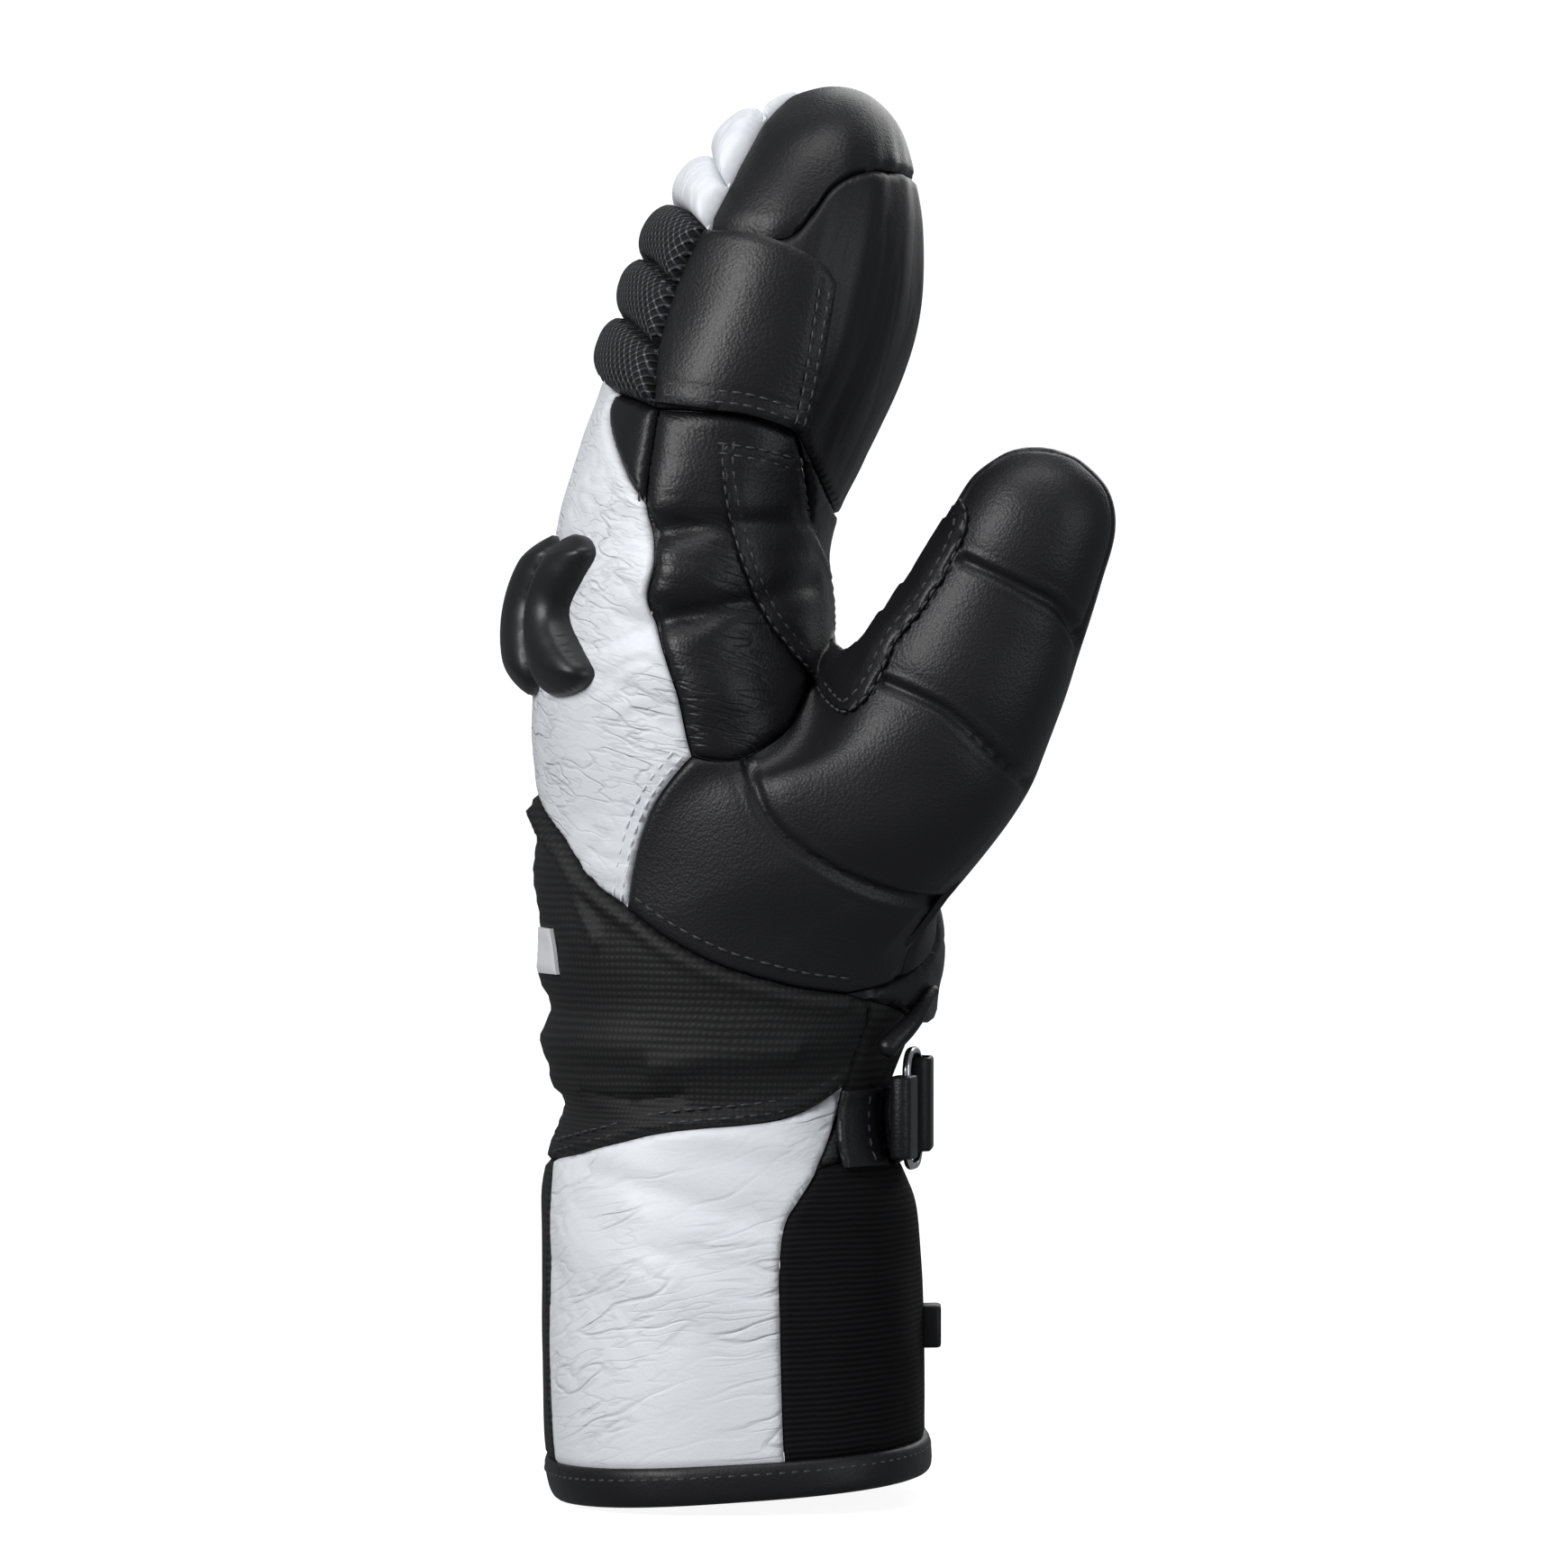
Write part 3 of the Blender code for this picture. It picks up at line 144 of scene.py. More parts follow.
# Sections of the body, up from the mouth: along, zone, back, palm, lean, width, full. along: 0 to 1 up
# the cuff, 1 to 2 up the palm, 2 to 3 up the fingers. back and palm: the section's ends in X, and lean:
# its rise from back to palm, as shares of the zone's depth. width: share of the zone's width. full:
# exponent of the oval, 2 for an ellipse and more for a squarer one.
SECTION_ROWS = (
    (0.00, "cuff", -0.490, 0.485, 0.070, 1.00, 2.60),
    (0.14, "cuff", -0.520, 0.477, 0.050, 1.00, 2.60),
    (0.46, "cuff", -0.530, 0.473, 0.024, 0.98, 2.50),
    (0.70, "cuff", -0.527, 0.460, -0.012, 0.94, 2.40),
    (0.80, "cuff", -0.519, 0.424, -0.011, 0.91, 2.40),
    (0.87, "wrist", -0.587, 0.450, -0.011, 1.04, 2.40),
    (1.00, "wrist", -0.537, 0.442, -0.008, 1.00, 2.30),
    (1.10, "palm", -0.632, 0.545, -0.015, 0.86, 2.30),
    (1.19, "palm", -0.662, 0.655, -0.015, 0.92, 2.20),
    (1.32, "palm", -0.668, 0.655, -0.030, 0.97, 2.20),
    (1.47, "palm", -0.677, 0.520, -0.059, 0.99, 2.20),
    (1.62, "palm", -0.698, 0.370, -0.089, 1.00, 2.20),
    (1.78, "palm", -0.674, 0.303, -0.089, 1.00, 2.20),
    (1.90, "palm", -0.626, 0.288, -0.095, 0.98, 2.20),
    (2.00, "finger", -0.657, 0.340, -0.120, 1.02, 2.20),
    (2.19, "finger", -0.543, 0.450, -0.220, 1.00, 2.20),
    (2.38, "finger", -0.423, 0.583, -0.250, 0.98, 2.20),
    (2.55, "finger", -0.327, 0.657, -0.227, 0.95, 2.20),
    (2.71, "finger", -0.177, 0.663, -0.183, 0.87, 2.20),
    (2.84, "finger", -0.010, 0.630, -0.143, 0.73, 2.15),
    (2.93, "finger", 0.137, 0.583, -0.093, 0.52, 2.05),
    (2.98, "finger", 0.257, 0.483, -0.033, 0.28, 2.00),
    (3.00, "finger", 0.363, 0.370, 0.000, 0.006, 2.00),
)

# Folds and dents of the body's skin: centre along and around, reach along and around, slope as along per
# around, and height as a share of a wall. around: 0 the middle of the back, 0.5 the thumb side, 1 the
# middle of the palm.
FOLD_ROWS = (
    (1.215, 0.00, 0.045, 0.34, -0.10, 0.35),
    (1.152, 0.10, 0.034, 0.34, 0.05, -0.35),
    (1.090, 0.12, 0.036, 0.34, 0.00, 0.70),
    (1.025, 0.10, 0.034, 0.32, 0.00, 0.70),
    (1.310, 0.13, 0.045, 0.15, -0.45, 0.70),
    (1.110, 0.60, 0.034, 0.13, 0.00, 0.50),
    (1.950, 0.46, 0.030, 0.09, 0.15, -0.75),
    (1.805, 0.49, 0.030, 0.11, 0.25, -0.85),
    (1.880, 0.50, 0.045, 0.10, 0.00, 0.45),
    (1.690, 0.58, 0.050, 0.11, 0.00, 0.50),
    (0.930, 0.45, 0.040, 0.30, -0.25, 0.40),
    (0.760, 0.42, 0.040, 0.24, -0.40, -0.40),
    (0.560, 0.38, 0.070, 0.30, -0.50, 0.35),
)

# Seams on the body, each a row of (along, around) points from one meeting point of panels to the next.
SEAMS = {
    "hem_back": ((0.085, -0.120), (0.085, 0.0), (0.085, 0.120)),
    "hem_near": ((0.085, 0.120), (0.085, 0.335), (0.085, 0.555)),
    "hem_palm": ((0.085, 0.555), (0.085, 0.80), (0.085, 1.0), (0.085, 1.20), (0.085, 1.445)),
    "cuff_back": ((0.085, 0.120), (0.386, 0.107), (0.627, 0.115), (0.834, 0.109)),
    "cuff_palm": (
        (0.085, 0.555), (0.480, 0.558), (0.608, 0.563), (0.693, 0.575), (0.749, 0.600), (0.835, 0.661),
    ),
    "wrist_low": ((0.835, 0.661), (0.887, 0.695), (0.956, 0.727), (1.024, 0.738)),
    "wrist_high": ((1.024, 0.738), (1.068, 0.740), (1.122, 0.736), (1.168, 0.713)),
    "cuff_top": (
        (0.834, 0.109), (0.880, 0.276), (0.916, 0.381), (0.943, 0.512), (0.960, 0.595), (0.990, 0.675),
        (1.024, 0.738),
    ),
    "cuff_top_back": ((0.834, -0.109), (0.824, 0.0), (0.834, 0.109)),
    "gusset_top": ((0.835, 0.661), (0.858, 0.80), (0.865, 1.0), (0.858, 1.20), (0.835, 1.339)),
    "low_back": (
        (1.319, -0.324), (1.370, -0.240), (1.440, -0.160), (1.500, 0.0), (1.440, 0.160), (1.370, 0.240),
        (1.319, 0.324),
    ),
    "low_side": ((1.319, 0.324), (1.275, 0.386), (1.235, 0.456), (1.209, 0.514)),
    "low_thumb": ((1.209, 0.514), (1.190, 0.582), (1.180, 0.662)),
    "low_notch": ((1.180, 0.662), (1.168, 0.713)),
    "low_palm": (
        (1.168, 0.713), (1.150, 0.804), (1.128, 0.90), (1.118, 1.0), (1.128, 1.10), (1.150, 1.196),
        (1.168, 1.287),
    ),
    "back_edge_low": ((1.319, 0.324), (1.386, 0.346), (1.443, 0.373), (1.500, 0.414), (1.576, 0.494)),
    "back_edge_high": (
        (1.576, 0.494), (1.657, 0.491), (1.707, 0.479), (1.784, 0.450), (1.835, 0.425), (1.900, 0.430),
        (1.987, 0.387),
    ),
    "insert_left": ((1.987, 0.387), (2.049, 0.300), (2.150, 0.180), (2.205, 0.173)),
    "insert_top": ((2.205, 0.173), (2.196, 0.250), (2.184, 0.333)),
    "insert_right": ((1.987, 0.387), (2.062, 0.365), (2.184, 0.333)),
    "index_top": ((2.184, 0.333), (2.198, 0.465), (2.206, 0.560), (2.193, 0.658)),
    "index_right": ((2.193, 0.658), (2.120, 0.720), (2.010, 0.800), (1.900, 0.840), (1.770, 0.830)),
    "index_low": (
        (1.770, 0.830), (1.712, 0.790), (1.643, 0.710), (1.600, 0.627), (1.576, 0.572), (1.570, 0.530),
        (1.576, 0.494),
    ),
    "finger_crease": (
        (2.193, 0.658), (2.130, 0.740), (2.060, 0.860), (2.030, 1.0), (2.060, 1.140), (2.130, 1.260),
        (2.193, 1.342),
    ),
    "thumb_hidden": (
        (1.180, 0.662), (1.200, 0.760), (1.240, 0.850), (1.300, 0.910), (1.420, 0.950), (1.560, 0.960),
        (1.680, 0.945), (1.755, 0.915), (1.785, 0.870), (1.770, 0.830),
    ),
    "far_back_edge": (
        (1.319, 1.676), (1.450, 1.640), (1.620, 1.600), (1.800, 1.585), (2.000, 1.610), (2.184, 1.667),
    ),
    "far_palm_edge": (
        (1.209, 1.486), (1.400, 1.430), (1.620, 1.400), (1.850, 1.390), (2.040, 1.375), (2.193, 1.342),
    ),
    "knuckle_top": ((2.184, -0.333), (2.215, -0.20), (2.240, 0.0), (2.230, 0.100), (2.205, 0.173)),
    "roll_edge_1": ((2.184, 0.333), (2.303, 0.288)),
    "roll_edge_2": ((2.303, 0.288), (2.444, 0.274)),
    "roll_edge_3": ((2.444, 0.274), (2.586, 0.292)),
    "valley_1": ((2.303, -0.288), (2.350, -0.16), (2.375, 0.0), (2.350, 0.16), (2.303, 0.288)),
    "valley_2": ((2.444, -0.274), (2.495, -0.16), (2.515, 0.0), (2.495, 0.16), (2.444, 0.274)),
    "valley_3": ((2.586, -0.292), (2.630, -0.17), (2.650, 0.0), (2.630, 0.17), (2.586, 0.292)),
    "cap_edge_1": ((2.586, 0.292), (2.690, 0.285)),
    "cap_edge_2": ((2.690, 0.285), (2.790, 0.255), (2.860, 0.200)),
    "valley_4": ((2.690, -0.285), (2.755, -0.14), (2.775, 0.0), (2.755, 0.14), (2.690, 0.285)),
    "valley_5": ((2.860, -0.200), (2.890, -0.10), (2.900, 0.0), (2.890, 0.10), (2.860, 0.200)),
    "cap_back": ((2.860, -0.200), (2.925, -0.13), (2.966, 0.0), (2.925, 0.13), (2.860, 0.200)),
    "cap_seam": (
        (2.586, 0.292), (2.592, 0.400), (2.605, 0.485), (2.675, 0.520), (2.739, 0.550), (2.781, 0.610),
        (2.808, 0.711),
        (2.823, 0.850), (2.828, 1.0), (2.823, 1.150), (2.808, 1.289), (2.781, 1.390), (2.739, 1.450),
        (2.675, 1.480),
        (2.605, 1.515), (2.592, 1.600), (2.586, 1.708),
    ),
}

# Closed outlines of the side patch and of the white tab, one side after the other, as (along, around).
SIDE_PATCH = (
    ((2.579, 0.300), (2.591, 0.415), (2.583, 0.494), (2.560, 0.564), (2.527, 0.603)),
    ((2.527, 0.603), (2.393, 0.621), (2.248, 0.654), (2.197, 0.660)),
    ((2.197, 0.660), (2.206, 0.532), (2.198, 0.465), (2.190, 0.345)),
    ((2.190, 0.345), (2.308, 0.300), (2.424, 0.286), (2.579, 0.300)),
)
WRIST_TAB = (
    ((1.205, 0.075), (1.205, 0.165)),
    ((1.205, 0.165), (1.282, 0.160)),
    ((1.282, 0.160), (1.282, 0.080)),
    ((1.282, 0.080), (1.205, 0.075)),
)
# Where the pull tab sits on the gusset.
PULL_TAB_PLACE = (0.385, 0.985)

# A knuckle guard's edges: along, its thumb-side and its far-side edge as offsets around from its middle
# line, and how much further the thumb-side edge reaches on the outermost guards.
GUARD_ROWS = (
    (1.662, 0.015, -0.015, 0.020),
    (1.680, 0.045, -0.036, 0.045),
    (1.710, 0.050, -0.048, 0.050),
    (1.759, 0.040, -0.058, 0.008),
    (1.805, 0.030, -0.060, -0.010),
    (1.857, 0.036, -0.056, 0.012),
    (1.900, 0.040, -0.044, 0.030),
    (1.925, 0.012, -0.020, 0.020),
)
# Each guard's middle line, which way its thumb-side edge points, and its share of the further reach.
GUARD_PLACES = ((0.215, 1, 1.0), (0.074, 1, 0.1), (-0.074, -1, 0.1), (-0.215, -1, 1.0))

# Sections of the free thumb, from the web to the tip: along and aside, which place the middle, as shares
# of the thumb's length; depth, as a share of its depth; lean, the section's tilt in degrees below level;
# width, and how far the middle stands to the side, as shares.
THUMB_ROWS = (
    (0.000, 0.000, 1.300, 27.0, 1.220, 0.92),
    (0.200, 0.023, 1.220, 21.0, 1.120, 0.97),
    (0.400, 0.044, 1.110, 16.5, 1.030, 1.00),
    (0.600, 0.062, 1.015, 15.0, 0.980, 1.03),
    (0.770, 0.065, 0.940, 10.5, 0.920, 1.04),
    (0.885, 0.045, 0.790, 7.0, 0.770, 1.04),
    (0.960, 0.018, 0.500, 5.0, 0.500, 1.04),
    (0.990, 0.004, 0.250, 5.0, 0.250, 1.04),
    (1.000, 0.000, 0.004, 5.0, 0.004, 1.04),
)
# Where the thumb's first section sits: its middle in X as a share of the palm's depth, and how far up the
# palm.
THUMB_ROOT_X = 0.632
THUMB_ROOT_ALONG = 1.640

# How the ring's seams turn round the thumb, in degrees: 0 its outer edge, 90 the side seen, 180 the
# finger's side.
RING_TURNS = {
    "index_low": (158.0, 112.0),
    "back_edge_low": (112.0, 78.0),
    "low_side": (78.0, 42.0),
    "low_thumb": (42.0, 22.0),
    "thumb_hidden": (22.0, -202.0),
}
# The turn where the outer panel ends, and the turns where the web's corner starts and ends the ring.
OUTER_TO = -6.0
WEB_SPLITS = (158.0, -202.0)
# How square the thumb's section is, its fineness round and up, the rows that close the tip, and how often
# the fold at its root is eased.
THUMB_FULL = 2.15
THUMB_COLUMNS = 200
ROOT_ROWS = 80
FREE_ROWS = 165
TIP_ROWS = 58
EASE_TURNS = 160
# The web's dip between finger and thumb, and how squarely the thumb's skin leaves the ring, by turn.
WEB_RISE = 1.1
WEB_DIP = 0.7
SQUARE_FROM = 94.0
SQUARE_OVER = 52.0
HIDDEN_SQUARENESS = 0.5

PI = math.pi
MM = 0.001
UP = np.array([0.0, 0.0, 1.0])

# The fingertip cap's rows and the way it faces at its pole, and the depth and girth its pattern is laid
# out with.
CAP_ROWS = 34
CAP_POLE = (0.05, 0.0, 0.9987)
CAP_DEPTH = 0.03
CAP_GIRTH = 0.045

# The hem's fineness round and across, and the points of its stitched row, and its height as a share.
HEM_COLUMNS = 260
HEM_ROWS = 26
HEM_STEPS = 400
HEM_STITCH = 0.80

# The rolls over the knuckles: name, lower seams, side seam and upper seam.
ROLLS = (
    ("mesh_roll_1", ("valley_2",), "roll_edge_3", "valley_3"),
    ("mesh_roll_2", ("valley_1",), "roll_edge_2", "valley_2"),
    ("mesh_roll_3", ("knuckle_top", "insert_top"), "roll_edge_1", "valley_1"),
    ("white_roll_1", ("valley_3",), "cap_edge_1", "valley_4"),
    ("white_roll_2", ("valley_4",), "cap_edge_2", "valley_5"),
)

# The piping's path over the heel, its points, and the index panel's two bends: along, and slope round the
# panel.
PIPING_ROWS = ((1.190, 0.885), (1.166, 0.840), (1.132, 0.800), (1.090, 0.772))
PIPING_STEPS = 40
INDEX_CREASES = ((1.950, 0.15), (1.805, 0.25))

# Lines on the wrist, the diagonal fold, the deep crease and the roll above it: rise and reach in mm, then
# the path.
WRIST_LINES = (
    (1.6, 2.0, ((1.470, 0.060), (1.447, 0.111), (1.368, 0.197), (1.267, 0.269))),
    (-1.2, 1.4, ((1.010, 0.200), (1.000, 0.330), (1.010, 0.430))),
    (1.2, 2.2, ((1.060, 0.380), (1.075, 0.480), (1.085, 0.600))),
)

# The lights: name, place, size, power and colour, all turned to one point. Then the studio sweep: its
# front, where it starts to bend up, the bend's radius, and half its width, which is its height too.
LIGHTS = (
    ("key", (-0.9, -1.1, 0.85), (0.55, 0.75), 19.0, (1.0, 1.0, 1.0)),
    ("fill", (1.3, -1.0, 0.40), (0.5, 1.0), 4.5, (0.96, 0.98, 1.0)),
    ("top", (0.1, -0.3, 1.35), (0.8, 0.5), 5.0, (1.0, 1.0, 1.0)),
    ("back", (0.4, 1.1, 0.8), (0.8, 0.8), 5.0, (1.0, 1.0, 1.0)),
)
LIT = (0.01, 0, 0.15)
SWEEP_FRONT, SWEEP_BACK, SWEEP_BEND, SWEEP_HALF = -3.0, 1.2, 0.8, 4.0

# The leathers' tones, and their folds: run and pitch in mm, turn in degrees, width, depth and key. The folds
# are bumped, and their creases get painted shade.
WHITE_TONE = (0.78, 0.80, 0.84)
BLACK_TONE = (0.0070, 0.0070, 0.0085)
BACK_FOLDS = ((20.0, 4.0, -7.0, 0.045, 0.22 * MM, 3.5), (11.0, 2.2, -4.0, 0.060, 0.08 * MM, 8.5))
CUFF_FOLDS = ((26.0, 6.5, 17.0, 0.040, 0.22 * MM, 5.5), (12.0, 2.8, 10.0, 0.055, 0.07 * MM, 9.5))
INDEX_FOLDS = ((11.0, 2.4, -8.0, 0.055, 0.10 * MM, 4.5),)

# A stitch's thread: its sides, and its points from end to end.
THREAD_SIDES = 6
THREAD_STEPS = 5

# The thumb's pressed grooves: the depth in metres and the width in mm of the sharp groove and of the soft
# dip round it, then the height, place and width of the lip beside it.
GROOVE_SHARP, GROOVE_DIP = (1.15 * MM, 1.25), (0.8 * MM, 4.2)
GROOVE_LIP = (0.30 * MM, 2.0, 0.8)

# How a draped piece settles: turns of pulling sunk points up and turns of evening out, how far a point may
# stand off before it is pulled, then rounds of coming out to the surface, and how far behind it a point may be.
SETTLE_TURNS, EVEN_TURNS, SETTLE_OVER = 26, 6, 0.5 * MM
RISE_ROUNDS, RISE_FROM = 3, 8 * MM

# The camera: straight on, its distance, the width of its view at the origin's plane, and its place.
VIEW_DISTANCE, VIEW_WIDTH, VIEW_X, VIEW_Z = 1.35, 0.3306, 0.0086, 0.1463
EYE = Vector((VIEW_X, -VIEW_DISTANCE, VIEW_Z))
SENSOR = 36.0
FLOOR = -0.0031

# Lines seen from the front, in millimetres right of the origin and up.
GROOVE_HIGH = ((46.2, 193.6), (53.6, 190.2), (60.0, 187.2), (66.5, 183.7), (70.5, 178.4), (72.4, 174.8))
GROOVE_MIDDLE = ((29.4, 168.0), (38.2, 164.0), (44.8, 160.2), (56.0, 150.1), (61.0, 145.5))
GROOVE_LOW = (
    (1.3, 150.9), (2.5, 145.2), (4.8, 139.7), (8.9, 134.9), (15.0, 130.5), (21.7, 126.5), (31.4, 122.7),
    (41.2, 121.0), (48.5, 121.0),
)
# The patch over the web: its sewn outer edge, its top, and its edges along finger and thumb.
WEB_OUTER = (
    (46.5, 207.9), (48.6, 205.2), (49.0, 201.0), (46.5, 194.2), (40.5, 183.7), (33.8, 175.4), (30.2, 167.6),
    (26.4, 162.1), (21.9, 159.4), (17.7, 161.9), (13.3, 167.6), (7.8, 174.2), (2.3, 182.2), (-2.5, 194.2),
    (-4.9, 204.6), (-5.9, 213.6), (-5.5, 219.6),
)
WEB_TOP = ((-5.5, 219.6), (4.8, 218.1), (12.7, 216.0))
WEB_FINGER = (
    (12.7, 216.0), (14.1, 205.2), (16.3, 199.1), (19.9, 192.8), (21.5, 185.2), (21.9, 178.6),
    (21.7, 174.4),
)
WEB_THUMB = (
    (21.7, 174.4), (24.3, 178.2), (29.1, 184.7), (33.6, 190.9), (37.8, 197.6), (42.2, 204.2),
    (46.5, 207.9),
)

# Fineness of the dressed surfaces, how deep their undersides lie, how far a panel's rim draws in from its
# seam, the spacing of a net's rows, the steps between two rows of a curve, and the reach of the skin's
# probes.
SEAM_FINE = 1.3 * MM
PANEL_FINE = 1.5 * MM
CREASE_FINE = 1.15 * MM
ROLL_FINE = 0.95 * MM
LINING = 1.9 * MM
DRAW_IN = 0.12 * MM
STITCH_ON_PATCH = SEAT + PATCH - 0.1 * MM
ROW_SPACING = 0.87
CURVE_STEPS = 12
PROBE_UP = 0.02
PROBE_ROUND = 0.006


# Smooth curves and the body's skin.


def curve(table, place):
    """A table's rows read at fractional places, with smooth curves through them."""
    table = np.asarray(table, float)
    last = len(table) - 1
    place = np.clip(np.asarray(place, float), 0.0, last)
    low = np.minimum(place.astype(int), last - 1)
    f = (place - low)[..., None]
    p0, p1 = table[low], table[low + 1]
    before, after = table[np.maximum(low - 1, 0)], table[np.minimum(low + 2, last)]
    spread_0 = np.where(low > 0, 2.0, 1.0)[..., None]
    spread_1 = np.where(low + 2 <= last, 2.0, 1.0)[..., None]
    h1, h2 = 2 * f ** 3 - 3 * f * f + 1, f ** 3 - 2 * f * f + f
    h3, h4 = 3 * f * f - 2 * f ** 3, f ** 3 - f * f
    return h1 * p0 + h2 * (p1 - before) / spread_0 + h3 * p1 + h4 * (after - p0) / spread_1


def zone_height(along):
    if along < 1.0:
        return along * CUFF_LENGTH
    if along < 2.0:
        return CUFF_LENGTH + (along - 1.0) * PALM_LENGTH
    return CUFF_LENGTH + PALM_LENGTH + (along - 2.0) * FINGER_LENGTH


SECTIONS = np.array([
    (a, zone_height(a), b * ZONES[z][0], p * ZONES[z][0], n * ZONES[z][0], w * ZONES[z][1] / 2, full)
    for a, z, b, p, n, w, full in SECTION_ROWS
])
PLACES = np.linspace(0, len(SECTIONS) - 1, 6001)
ALONGS = np.maximum.accumulate(curve(SECTIONS, PLACES)[:, 0])
THUMB_ROOT = np.array([THUMB_ROOT_X * PALM_DEPTH, 0.0, zone_height(THUMB_ROOT_ALONG)])


def place_of(along):
    return np.interp(along, ALONGS, PLACES)


def oval(place, around):
    """Points of the body without its folds."""
    _, height, back, palm, lean, half_width, full = np.moveaxis(curve(SECTIONS, place), -1, 0)
    c, s = np.cos(PI * around), np.sin(PI * around)
    across = (1 - np.sign(c) * np.abs(c) ** (2 / full)) / 2
    out = np.sign(s) * np.abs(s) ** (2 / full)
    return np.stack([back + (palm - back) * across, -half_width * out, height + lean * (across - 0.5)], -1)


def unit(vectors):
    return vectors / np.maximum(np.linalg.norm(vectors, axis=-1, keepdims=True), 1e-12)


def relief(along, around):
    """How far the folds raise the skin. Each is mirrored, and one in the middle counts half twice."""
    around = (around + 1.0) % 2.0 - 1.0
    total = np.zeros_like(along)
    for row_along, row_around, reach, spread, slope, share in FOLD_ROWS:
        for side in (1, -1):
            off = side * around - row_around
            rise = (along - row_along - slope * off) / reach
            total += share * WALL * np.exp(-rise * rise - (off / spread) ** 2) * (1.0 if row_around else 0.5)
    return total


def skin(along, around):
    """Points of the body's skin and their outward normals."""
    along, around = np.asarray(along, float), np.asarray(around, float)
    place = place_of(along)
    low, high = np.maximum(place - PROBE_UP, 0.0), np.minimum(place + PROBE_UP, len(SECTIONS) - 1.0001)
    up = oval(high, around) - oval(low, around)
    side = oval(place, around + PROBE_ROUND) - oval(place, around - PROBE_ROUND)
    normal = unit(np.cross(side, up))
    return oval(place, around) + normal * relief(along, around)[..., None], normal


def line(rows, step=SEAM_FINE):
    """A smooth line of the flat pattern, with points about a step apart on the body."""
    rows = np.asarray(rows, float)
    fine = curve(rows, np.linspace(0, len(rows) - 1, CURVE_STEPS * (len(rows) - 1) + 1))
    points = oval(place_of(fine[:, 0]), fine[:, 1])
    length = np.linalg.norm(np.diff(points, axis=0), axis=1).sum()
    count = max(3, round(length / step))
    return curve(rows, np.linspace(0, len(rows) - 1, count + 1))


def seam(name, side=0):
    """A seam of the pattern. A leading minus runs it backwards. side -1: mirrored over the back, 2: over the
    palm, 1: taken once round."""
    points = line(SEAMS[name.lstrip("-")]).copy()
    if side == -1:
        points[:, 1] *= -1
    elif side == 2:
        points[:, 1] = 2.0 - points[:, 1]
    elif side == 1:
        points[:, 1] -= 2.0
    return points[::-1] if name.startswith("-") else points


def outline(*parts):
    return np.concatenate([(seam(*part) if isinstance(part, tuple) else seam(part))[:-1] for part in parts])


def patch_outline(sides):
    return np.concatenate([line(rows)[:-1] for rows in sides])


# Noise for creases.


RANDOM = np.random.default_rng(11)
SHUFFLE = np.tile(RANDOM.permutation(256), 3)
SLOPES = unit(RANDOM.normal(size=(256, 3)))


def noise(x, y, z):
    """Smooth gradient noise, about -0.7 to 0.7."""
    x, y, z = np.broadcast_arrays(np.asarray(x, float), np.asarray(y, float), np.asarray(z, float))
    ix, iy, iz = (np.floor(v).astype(int) for v in (x, y, z))
    fx, fy, fz = x - ix, y - iy, z - iz
    wx, wy, wz = (f * f * f * (f * (f * 6 - 15) + 10) for f in (fx, fy, fz))
    total = 0.0
    for dx in (0, 1):
        for dy in (0, 1):
            for dz in (0, 1):
                key = SHUFFLE[SHUFFLE[SHUFFLE[(ix + dx) & 255] + ((iy + dy) & 255)] + ((iz + dz) & 255)]
                slope = SLOPES[key]
                dot = slope[..., 0] * (fx - dx) + slope[..., 1] * (fy - dy) + slope[..., 2] * (fz - dz)
                total = total + dot * (wx if dx else 1 - wx) * (wy if dy else 1 - wy) * (wz if dz else 1 - wz)
    return total


def smooth(low, high, value):
    t = np.clip((value - low) / (high - low), 0.0, 1.0)
    return t * t * (3 - 2 * t)


def creases(u, v, run, pitch, key, width=0.10, wander=0.35):
    """Fine crease lines that run along u: 1 in a crease, 0 between. run and pitch in metres."""
    bend = noise(u / (run * 1.3), v / (pitch * 4), key + 7.3) * wander
    value = noise(u / run, v / pitch + bend * 3, key)
    return np.exp(-(value / width) ** 2)


# Panels.


class Net:
    """A net of points over a panel, with what its height is worked out from."""

    def __init__(self, along, around, u, v, depth, points, normals, faces):
        self.along, self.around, self.u, self.v = along, around, u, v
        self.depth, self.points, self.normals, self.faces = depth, points, normals, faces


def edge_distance(points, loop, closed=True):
    """How far points of a plane lie from a loop, or from an open line."""
    starts = loop if closed else loop[:-1]
    ends = np.roll(loop, -1, 0) if closed else loop[1:]
    run = ends - starts
    square = np.maximum((run * run).sum(1), 1e-18)
    found = np.empty(len(points))
    for first in range(0, len(points), 4000):
        off = points[first:first + 4000, None, :] - starts
        t = np.clip((off * run).sum(2) / square, 0, 1)
        found[first:first + 4000] = np.sqrt(((off - t[..., None] * run) ** 2).sum(2).min(1))
    return found


def inside(points, loop):
    found = np.zeros(len(points), bool)
    x, y = points[:, 0], points[:, 1]
    for (x1, y1), (x2, y2) in zip(loop, np.roll(loop, -1, 0)):
        if y1 != y2:
            found ^= ((y1 > y) != (y2 > y)) & (x < (x2 - x1) * (y - y1) / (y2 - y1) + x1)
    return found


def flat_scale(loop):
    """Metres on the skin for one step along and one step around, at the middle of a panel."""
    along, around = loop[:, 0].mean(), loop[:, 1].mean()
    place = place_of(along)
    here = oval(place, around)
    rise = np.linalg.norm(oval(place_of(along + 0.02), around) - here) / 0.02
    turn = np.linalg.norm(oval(place, around + 0.02) - here) / 0.02
    return rise, max(turn, 0.05)


